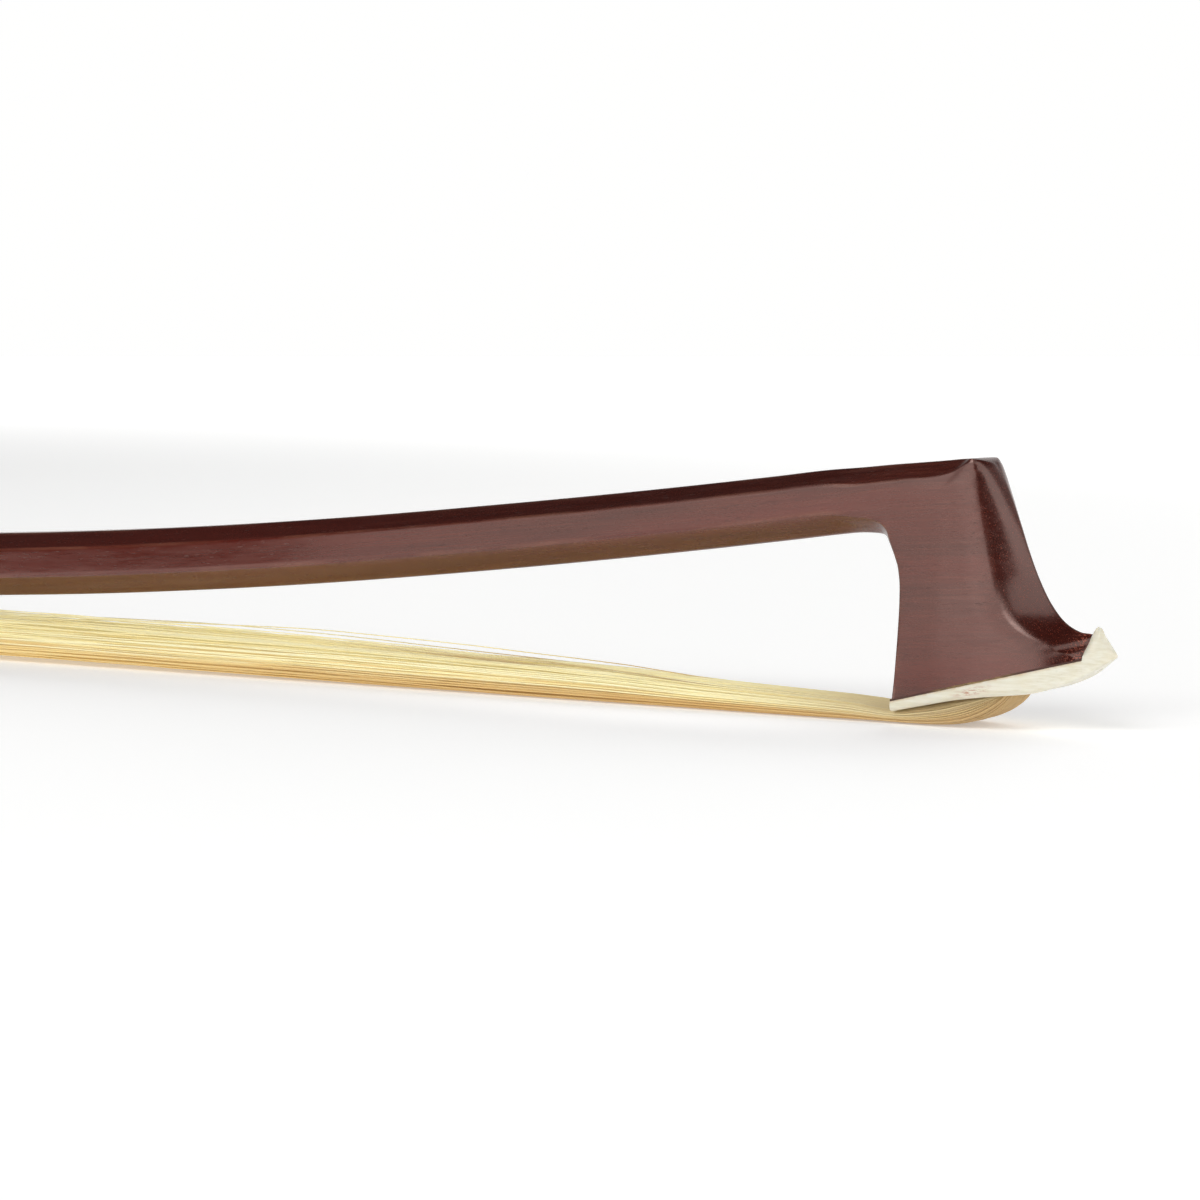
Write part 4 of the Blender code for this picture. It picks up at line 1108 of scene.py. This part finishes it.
def build_hair():
    rng = np.random.default_rng(11)
    path, where = dense_path()
    outer, inner, half = path[:, 0:2], path[:, 2:4], path[:, 4]
    depth = np.linalg.norm(inner - outer, axis=1)
    s = (outer[:, 0] + inner[:, 0]) / 2
    free = np.clip(np.minimum((s - 2) / 40.0, (598 - s) / 40.0), 0, 1)   # loose part
    lanes = ("near", "near_middle", "middle", "far_middle", "far")
    bundles = {lane: [] for lane in lanes}
    count = 510
    golden = (math.sqrt(5) - 1) / 2
    inset = .11
    for i in range(count):
        u = 2 * ((i + .5) / count) - 1
        v = (i * golden) % 1.0
        du = wander(rng, where, ((210, .07), (90, .035), (37, .014)))
        dv = wander(rng, where, ((260, .07), (120, .035), (48, .014)))
        uu = np.clip(u + du * (.2 + .8 * free), -1, 1)
        edge = 1 - .34 * np.clip((np.abs(uu) - .72) / .28, 0, 1) ** 2
        vv = .5 + (np.clip(v + dv * free, 0, 1) - .5) * edge
        k = (inset + vv * np.maximum(depth - 2 * inset, .2)) / depth
        pos = outer + (inner - outer) * k[:, None]
        z = np.maximum(pos[:, 1], .125)
        pts = np.stack([THROAT_X - pos[:, 0], uu * (half - inset), z], 1)
        bundles[lanes[min(4, int((u + 1) / .4))]].append((pts, rng.uniform(.082, .112), (rng.uniform(), v)))
    for key, strands in bundles.items():
        lines, radii, values = zip(*strands)
        obj = tubes("horse_hair_" + key, lines, radii, M_HAIR, values, sides=5)
        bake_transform(obj)
        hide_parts("hair_ribbon")

    # the middle of the ribbon, closed so that no light comes through between the strands
    shape = ((-.93, .50), (-.88, .26), (-.55, .19), (0, .17), (.55, .19), (.88, .26), (.93, .50),
             (.88, .74), (.55, .81), (0, .83), (-.55, .81), (-.88, .74))
    rings, lay = [], []
    for o, i, h, w in zip(outer[3:-2], inner[3:-2], half[3:-2], where[3:-2]):
        ring = []
        for u, k in shape:
            q = o + (i - o) * k
            ring.append(at(q[0], max(q[1], .3), u * h))
            lay.append((u * h, w, k))
        rings.append(ring)
    obj = loft("horse_hair_core", rings, M_HAIR_CORE)
    point_attribute(obj, "lay", np.array(lay))
    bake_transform(obj)
    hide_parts("hair_ribbon")

    # a few stray hairs that have worked loose above the ribbon
    lines, radii, values = [], [], []
    mask = (s > 6) & (s < 596)
    top, ts, hw = inner[mask, 1], s[mask], half[mask]
    for i in range(14):
        a = rng.uniform(6, 40)
        b = rng.uniform(110, 300) + a
        if i % 4 == 3:
            a, b = rng.uniform(250, 380), rng.uniform(430, 590)
        lift = rng.uniform(.25, 1.15)
        sel = (ts >= a) & (ts <= b)
        x = ts[sel]
        k = (x - a) / (b - a)
        hump = np.sin(math.pi * k) ** 1.3
        z = top[sel] - .3 + (lift + .3) * hump + wander(rng, x, ((60, .06), (24, .03))) * hump
        y = rng.uniform(-.85, .85) * (hw[sel] - .3) + wander(rng, x, ((120, .3),)) * hump
        z = np.maximum(z, .2)
        lines.append(np.stack([THROAT_X - x, y, z], 1))
        radii.append(.065)
        values.append((rng.uniform(.5, 1), .9))
    obj = tubes("stray_hairs", lines, radii, M_HAIR, values, sides=5)
    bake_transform(obj)


build_hair()

# =====================================================================
# frog
# =====================================================================
FERRULE_UNDER = -(HANDLE.z - 25.0 * math.sin(TILT)) / math.cos(TILT)
FERRULE_HALF, FERRULE_TOP, FERRULE_WALL, FERRULE_BACK = 7.20, -10.80, .55, 10.4
FROG_UNDER = -20.60
FLANK = ((-22.0, 6.72), (-20.6, 6.72), (-19.6, 6.70), (-16.8, 6.52), (-14.0, 6.28), (-11.0, 6.08),
         (-8.0, 5.92), (-5.0, 5.74), (-2.0, 5.60), (1.5, 5.60))


def flank_half(b):
    return table(FLANK, b)


def bezier(p0, p1, p2, p3, count):
    out = []
    for i in range(count + 1):
        t = i / count
        out.append(tuple((1 - t) ** 3 * a + 3 * t * (1 - t) ** 2 * b + 3 * t * t * (1 - t) * c
                         + t ** 3 * d for a, b, c, d in zip(p0, p1, p2, p3)))
    return out


def d_outline(inset, under=None, count=26):
    half = FERRULE_HALF - inset
    low = FERRULE_UNDER + inset if under is None else under
    spring = -16.6
    rise = FERRULE_TOP - inset - spring
    r = .55 if under is None else .2
    pts = []
    for i in range(5):
        t = -math.pi / 2 + math.pi / 2 * i / 4
        pts.append((half - r + r * math.cos(t), low + r + r * math.sin(t)))
    for i in range(count + 1):
        t = math.pi * i / count
        pts.append((half * math.cos(t), spring + rise * max(0.0, math.sin(t)) ** .85))
    for i in range(5):
        t = math.pi + math.pi / 2 * i / 4
        pts.append((-half + r + r * math.cos(t), low + r + r * math.sin(t)))
    return pts


def along_a(name, outline, a0, a1, mat=None):
    rings = [[hp(a, y, b) for y, b in outline] for a in (a0, a1)]
    return loft(name, rings, mat, smooth=False)


def trough(grow):
    r = table(TAPER, HANDLE_S) / 2 + grow
    t = r * math.tan(math.pi / 8)
    return ((-t, -r), (t, -r), (r, -t), (r, 3), (-r, 3), (-r, -t))


def y_bar(name, centre_a, centre_b, radius, y0, y1, sides=48):
    rings = [[hp(centre_a + radius * math.cos(2 * math.pi * i / sides), y,
                 centre_b + radius * math.sin(2 * math.pi * i / sides)) for i in range(sides)]
             for y in (y0, y1)]
    return loft(name, rings, None, smooth=False)


EYE_A, EYE_B = -5.0, -13.2


def build_frog():
    thumb = bezier((12.5, -7.4), (10.6, -7.75), (8.2, -8.3), (7.1, -9.5), 8)
    thumb += bezier((7.1, -9.5), (6.3, -10.5), (7.0, -11.7), (8.8, -11.85), 8)[1:]
    outline = [(-25.1, -19.8), (-25.1, -8.35), (-25.9, -8.35), (-25.9, -2.4), (-25.5, -2.0),
               (15.7, -2.0), (16.2, -2.5), (16.2, -6.6), (15.8, -7.0)] + thumb \
        + [(10.2, -11.9), (10.2, FROG_UNDER), (-19.9, FROG_UNDER), (-19.9, -19.8)]
    # the profile is sliced level by level so that its sides can flare
    bm = bmesh.new()
    face = bm.faces.new([bm.verts.new((a, 0, b)) for a, b in outline])
    for level in np.arange(-20.2, -2.2, .9):
        geom = bm.verts[:] + bm.edges[:] + bm.faces[:]
        bmesh.ops.bisect_plane(bm, geom=geom, plane_co=(0, 0, level), plane_no=(0, 0, 1))
    ret = bmesh.ops.extrude_face_region(bm, geom=bm.faces[:])
    moved = [g for g in ret["geom"] if isinstance(g, bmesh.types.BMVert)]
    for v in moved:
        v.co.y = 1
    for v in bm.verts:
        v.co.y = (1 if v.co.y > .5 else -1) * flank_half(v.co.z)
    bmesh.ops.recalc_face_normals(bm, faces=bm.faces)
    for v in bm.verts:
        v.co = hp(*v.co) * MM
    mesh = bpy.data.meshes.new("frog")
    bm.to_mesh(mesh)
    bm.free()
    obj = bpy.data.objects.new("ebony_frog", mesh)
    bpy.context.scene.collection.objects.link(obj)
    mesh.materials.append(M_EBONY)
    tongue = along_a("c0", d_outline(FERRULE_WALL + .1, -17.35), 6.0, 24.5)
    boolean(obj, "UNION", [tongue])
    cuts = [along_a("c1", trough(.62), -31, 31),
            along_a("c2", ((-4.95, -24), (4.95, -24), (4.95, -17.35), (-4.95, -17.35)), -21.5, 14.0),
            handle_prism("c3", ((-15.2, -19), (-3.8, -19), (-3.8, -10.8), (-15.2, -10.8)), 4.4),
            y_bar("c4", EYE_A, EYE_B, 4.42, 4.95, 9.5), y_bar("c5", EYE_A, EYE_B, 4.42, -9.5, -4.95)]
    boolean(obj, "DIFFERENCE", cuts)
    soften(obj, .22, 2, 34)
    obj.data.shade_smooth()
    obj.data.set_sharp_from_angle(angle=math.radians(28))
    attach(obj, "frog")
    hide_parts("frog_body")


def build_ferrule():
    rows = ((FERRULE_BACK + .12, 0.0), (FERRULE_BACK + .35, -.0), (12.0, 0), (16, 0), (20, 0),
            (23.6, 0), (24.75, .02), (25.0, .16), (25.0, FERRULE_WALL - .12),
            (24.85, FERRULE_WALL), (20, FERRULE_WALL), (14, FERRULE_WALL),
            (FERRULE_BACK + .12, FERRULE_WALL), (FERRULE_BACK, FERRULE_WALL - .1),
            (FERRULE_BACK, .12))
    rings = [[hp(a, y, b) for y, b in d_outline(inset)] for a, inset in rows]
    obj = loft("silver_ferrule", rings, M_SILVER, closed=True, angle=40)
    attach(obj, "frog")
    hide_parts("ferrule")


def turned_y(name, profile, sign, mat, sides=72, closed=True):
    """A turned piece on the eye's axis: profile rows are (radius, distance from the middle)."""
    rings = [[hp(EYE_A + r * math.cos(2 * math.pi * i / sides), sign * d,
                 EYE_B + r * math.sin(2 * math.pi * i / sides)) for i in range(sides)]
             for r, d in profile]
    return loft(name, rings, mat, closed=closed, angle=38)


def build_eyes():
    for word, sign in (("left", 1), ("right", -1)):
        ring = turned_y("eye_ring_silver_" + word,
                        ((4.40, 5.15), (4.40, 6.30), (4.34, 6.385), (4.2, 6.41), (3.7, 6.41),
                         (3.56, 6.385), (3.50, 6.30), (3.50, 5.15)), sign, M_SILVER)
        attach(ring, "frog")
        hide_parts("eye_ring_" + word)
        dot = turned_y("eye_pearl_" + word,
                       ((3.49, 5.14), (3.49, 6.22), (3.42, 6.29), (2.8, 6.33), (1.8, 6.355),
                        (.8, 6.37), (.05, 6.372)), sign, M_PEARL, closed=False)
        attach(dot, "frog")
        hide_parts("pearl_eye_" + word)


build_frog()
build_ferrule()
build_eyes()

# =====================================================================
# button
# =====================================================================
def octagon(flat, a, count=64, crisp=1.0):
    """An eight-sided ring whose corners are softened as crisp falls below one."""
    ring = []
    for i in range(count):
        t = 2 * math.pi * (i + .5) / count
        k = ((t + math.pi / 8) % (math.pi / 4)) - math.pi / 8
        r = flat / math.cos(k)
        limit = flat * (1 / math.cos(math.pi / 8) - .018)
        r = min(r, limit)
        r = flat + (r - flat) * crisp
        ring.append(hp(a, r * math.sin(t), -r * math.cos(t)))
    return ring


def build_button():
    flat = 5.60
    rings = [octagon(4.4, -34.42), octagon(flat - .12, -34.42), octagon(flat, -34.62), octagon(flat, -36.0),
             octagon(flat, -36.15), octagon(flat - .14, -36.28), octagon(flat, -36.42),
             octagon(flat, -38.5), octagon(flat - .10, -38.74), octagon(4.4, -38.74)]
    front = loft("button_collar_front", rings, M_SILVER, closed=True, angle=25)
    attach(front, "screw")
    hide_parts("button_ring_front")
    rings = [octagon(4.2, -36.6, crisp=0), octagon(4.2, -38.8, crisp=0), octagon(5.36, -38.8),
             octagon(5.46, -38.95), octagon(5.42, -40.4), octagon(5.40, -42.0), octagon(5.42, -43.6),
             octagon(5.46, -45.05), octagon(5.36, -45.2), octagon(4.2, -45.2, crisp=0),
             octagon(4.2, -49.0, crisp=0), octagon(1.75, -49.0, crisp=0),
             octagon(1.75, -36.6, crisp=0)]
    core = loft("button_core_ebony", rings, M_EBONY, closed=True, angle=25)
    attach(core, "screw")
    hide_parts("button_core")
    rings = [octagon(4.4, -45.26), octagon(flat - .10, -45.26), octagon(flat, -45.5),
             octagon(flat, -47.6), octagon(flat - .14, -47.74), octagon(flat, -47.88),
             octagon(flat, -49.35), octagon(flat - .30, -49.85), octagon(flat - .75, -50.0),
             octagon(3.05, -50.0, crisp=0), octagon(2.92, -49.86, crisp=0),
             octagon(2.92, -49.3, crisp=0), octagon(4.4, -49.3, crisp=0)]
    rear = loft("button_collar_rear", rings, M_SILVER, closed=True, angle=25)
    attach(rear, "screw")
    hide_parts("button_ring_rear")
    rings = [octagon(r, a, crisp=0) for r, a in ((2.88, -49.3), (2.88, -49.82), (2.78, -49.9),
                                                 (2.0, -49.95), (1.0, -49.98), (.05, -49.99))]
    eye = loft("button_pearl", rings, M_PEARL, angle=35)
    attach(eye, "screw")
    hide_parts("button_eye")


build_button()

# =====================================================================
# wire winding and thumb leather
# =====================================================================
def stick_frame(s):
    low, high, w = stick_line(s)
    mid = (low + high) / 2
    up = (high - mid).normalized()
    return mid, up, w / 2


def around(s, t, grow, corner=.35):
    """A point round the stick at angle t, standing off its flats, corners rounded."""
    mid, up, r = stick_frame(s)
    r += grow
    k = ((t + math.pi / 8) % (math.pi / 4)) - math.pi / 8
    rad = min(r / math.cos(k), r / math.cos(math.pi / 8) - corner * .16)
    y, h = rad * math.sin(t), -rad * math.cos(t)
    p = mid + up * h
    return at(p.x, p.y, y)


def build_winding():
    wire = .17
    s0, s1 = 540.3, 593.1
    pitch = wire * 2 * 1.02
    turns = (s1 - s0) / pitch
    per = 24
    n = int(turns * per)
    pts = np.array([tuple(around(s0 + (s1 - s0) * i / n, 2 * math.pi * turns * i / n, wire + .05))
                    for i in range(n + 1)])
    sides = 6
    tan = np.gradient(pts, axis=0)
    tan /= np.linalg.norm(tan, axis=1)[:, None]
    side = np.tile(np.array([COS_T, 0, -SIN_T]), (len(pts), 1))
    side -= (side * tan).sum(1)[:, None] * tan
    side /= np.linalg.norm(side, axis=1)[:, None]
    up = np.cross(tan, side)
    ang = 2 * math.pi * np.arange(sides) / sides
    ring = pts[:, None, :] + wire * (side[:, None, :] * np.cos(ang)[None, :, None]
                                     + up[:, None, :] * np.sin(ang)[None, :, None])
    verts = ring.reshape(-1, 3)
    faces = []
    for i in range(len(pts) - 1):
        for j in range(sides):
            k = (j + 1) % sides
            faces.append((i * sides + j, i * sides + k, (i + 1) * sides + k, (i + 1) * sides + j))
    faces.append(tuple(range(sides)))
    faces.append(tuple(range((len(pts) - 1) * sides, len(pts) * sides)))
    obj = make("silver_wire_winding", verts, faces, M_WIRE)
    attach(obj, "stick")
    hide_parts("winding")


def build_leather():
    rows = ((594.0, .14), (594.05, .42), (594.35, .66), (595.2, .80), (597, .85), (600, .84), (603, .86),
            (606, .85), (609, .83), (612, .85), (615, .86), (618, .84), (620.0, .80), (620.9, .68),
            (621.3, .45), (621.4, .14))
    n = 96
    rings, edge = [], []
    for s, grow in rows:
        ring = []
        for i in range(n):
            t = 2 * math.pi * i / n
            # the lap of the seam runs along the side away from the player's thumb
            lap = .13 * math.exp(-((t - 1.5 * math.pi) / .10) ** 2) if grow > .3 else 0
            step = .10 * max(0.0, min(1.0, (t - 1.5 * math.pi) / .05)) * math.exp(-max(0.0, t - 1.5 * math.pi) / .5) \
                if grow > .3 else 0
            wobble = .035 * noise.noise(Vector((s * .35, math.cos(t) * 2.2, math.sin(t) * 2.2)))
            ring.append(around(s, t, grow - .06 + min(.14, lap + step) + wobble * (grow > .3), 1.2))
            k = ((t + math.pi / 8) % (math.pi / 4)) - math.pi / 8
            edge.append(max(0.0, (abs(k) - .26) / .13) * (grow > .5))
        rings.append(ring)
    inner = [[around(s, 2 * math.pi * i / n, .04) for i in range(n)] for s in (621.3, 594.1)]
    edge += [0.0] * (2 * n)
    obj = loft("leather_thumb_grip", rings + inner, M_LEATHER, closed=True)
    point_attribute(obj, "edge", edge)
    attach(obj, "stick")
    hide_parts("thumb_leather")


build_winding()
build_leather()

# =====================================================================
# CAD nodes whose shape stays
# =====================================================================
FINISH = {
    "head_plug": (M_WILLOW, .12), "head_hair_knot": (M_KNOT, 0), "head_knot_thread": (M_THREAD, 0),
    "ferrule_wedge": (M_WILLOW, .10), "frog_plug": (M_WILLOW, .12), "frog_hair_knot": (M_KNOT, 0),
    "frog_knot_thread": (M_THREAD, 0), "slide_base": (M_EBONY, .06), "pearl_slide": (M_PEARL, .10),
    "heel_plate": (M_SILVER, .14), "heel_pin_left": (M_SILVER, .06),
    "heel_pin_right": (M_SILVER, .06), "underslide": (M_SILVER, .08),
    "underslide_pin_front": (M_SILVER, .05), "underslide_pin_rear": (M_SILVER, .05),
    "eyelet": (M_BRASS, .15), "screw": (M_STEEL, .0),
}
for name, (mat, width) in FINISH.items():
    node = NODES[name]
    node.data.materials.clear()
    node.data.materials.append(mat)
    if width:
        soften(node, width, 2, 35, apply=False, weld=.002)

# =====================================================================
# floor, light and camera
# =====================================================================
floor_mesh = bpy.data.meshes.new("studio_floor")
bm = bmesh.new()
bmesh.ops.create_grid(bm, x_segments=8, y_segments=8, size=60.0)
bm.to_mesh(floor_mesh)
bm.free()
floor = bpy.data.objects.new("studio_floor", floor_mesh)
bpy.context.scene.collection.objects.link(floor)
floor_mesh.materials.append(floor_material())
floor.location.z = -0.00002

HEAD_AT = Vector((.335, 0, .020))


def softbox(name, azimuth, elevation, distance, width, height, radiance, colour=(1, 1, 1)):
    """A soft rectangular light: azimuth is measured from -Y towards +X."""
    a, e = math.radians(azimuth), math.radians(elevation)
    d = Vector((math.sin(a) * math.cos(e), -math.cos(a) * math.cos(e), math.sin(e)))
    light = bpy.data.lights.new(name, "AREA")
    light.shape, light.size, light.size_y = "RECTANGLE", width, height
    light.energy = radiance * math.pi * width * height
    light.color = colour
    obj = bpy.data.objects.new(name, light)
    bpy.context.scene.collection.objects.link(obj)
    obj.location = HEAD_AT + d * distance
    obj.rotation_mode = "QUATERNION"
    obj.rotation_quaternion = d.to_track_quat("Z", "Y")
    obj.visible_camera = False
    return obj


softbox("softbox_front_left", -5, 27, 1.35, 1.36, 1.35, .80)
softbox("softbox_front_high", -8, 47, 1.40, .90, .70, 3.4)
softbox("softbox_right", 78, 30, 1.35, 1.45, 1.15, 1.05)
softbox("softbox_back", 166, 33, 1.40, 1.90, .90, 2.3).visible_glossy = False


def black_screen(name, place, toward, width, height_):
    """A black cloth screen that shows only in the gloss."""
    bm = bmesh.new()
    bmesh.ops.create_grid(bm, x_segments=6, y_segments=6, size=.5)
    for v in bm.verts:
        v.co = (v.co.x * width, v.co.y * height_, 0)
    mesh = bpy.data.meshes.new(name)
    bm.to_mesh(mesh)
    bm.free()
    obj = bpy.data.objects.new(name, mesh)
    bpy.context.scene.collection.objects.link(obj)
    mesh.materials.append(M_CLOTH)
    obj.location = place
    obj.rotation_mode = "QUATERNION"
    obj.rotation_quaternion = Vector(toward).to_track_quat("Z", "Y")
    obj.visible_camera = obj.visible_diffuse = obj.visible_shadow = False
    obj.visible_transmission = False


m = Mat("black_cloth", roughness=.9)
M_CLOTH = m.to(Base_Color=m.ramp(m.noise(m.obj_mm(), .8, 3), ((.3, (.006, .006, .006)),
                                                             (.7, (.014, .014, .014)))))
a, e = math.radians(46), math.radians(6)
d = Vector((math.sin(a) * math.cos(e), -math.cos(a) * math.cos(e), math.sin(e)))
black_screen("black_screen_front", HEAD_AT + d * .62, d, .70, .36)
black_screen("black_screen_left", (-.22, -.13, .125), (0, -1, 0), .76, .25)

world = bpy.data.worlds.new("studio")
bpy.context.scene.world = world
world.use_nodes = True
wt = world.node_tree
bg = wt.nodes["Background"]


def wn(kind, inputs=None, **props):
    n = wt.nodes.new(kind)
    for k, v in props.items():
        setattr(n, k, v)
    for k, v in (inputs or {}).items():
        if isinstance(v, bpy.types.NodeSocket):
            wt.links.new(v, n.inputs[k])
        else:
            n.inputs[k].default_value = v
    return n


direction = wn("ShaderNodeTexCoord").outputs["Generated"]
direction = wn("ShaderNodeVectorMath", {0: direction}, operation="NORMALIZE").outputs[0]
height = wn("ShaderNodeSeparateXYZ", {0: direction}).outputs[2]
sky = wn("ShaderNodeValToRGB", {"Fac": height})
levels = ((0.0, 1.0), (.14, 1.0), (.34, .40), (.57, .10), (.74, .035), (.87, .03))
while len(sky.color_ramp.elements) < len(levels):
    sky.color_ramp.elements.new(.5)
for el, (h, v) in zip(sky.color_ramp.elements, levels):
    el.position, el.color = h, (v, v, v, 1)
wt.links.new(sky.outputs[0], bg.inputs["Strength"])
bg.inputs["Color"].default_value = (1.0, 1.0, .995, 1)

cam_data = bpy.data.cameras.new("camera")
cam_data.sensor_width = 36.0
cam_data.lens = 3070.0 / 1200.0 * 36.0
cam_data.clip_start, cam_data.clip_end = .01, 200.0
camera = bpy.data.objects.new("camera", cam_data)
bpy.context.scene.collection.objects.link(camera)
YAW, PITCH = math.radians(32.0), math.radians(4.55)
forward = Vector((-math.sin(YAW) * math.cos(PITCH), math.cos(YAW) * math.cos(PITCH),
                  -math.sin(PITCH)))
camera.rotation_mode = "QUATERNION"
camera.rotation_quaternion = forward.to_track_quat("-Z", "Y")
camera.location = Vector((.47931, -.29589, .03903))
bpy.context.scene.camera = camera

view = bpy.context.scene.view_settings
view.view_transform = "Standard"
view.look = "None"
view.exposure = 0.0
view.gamma = 1.0
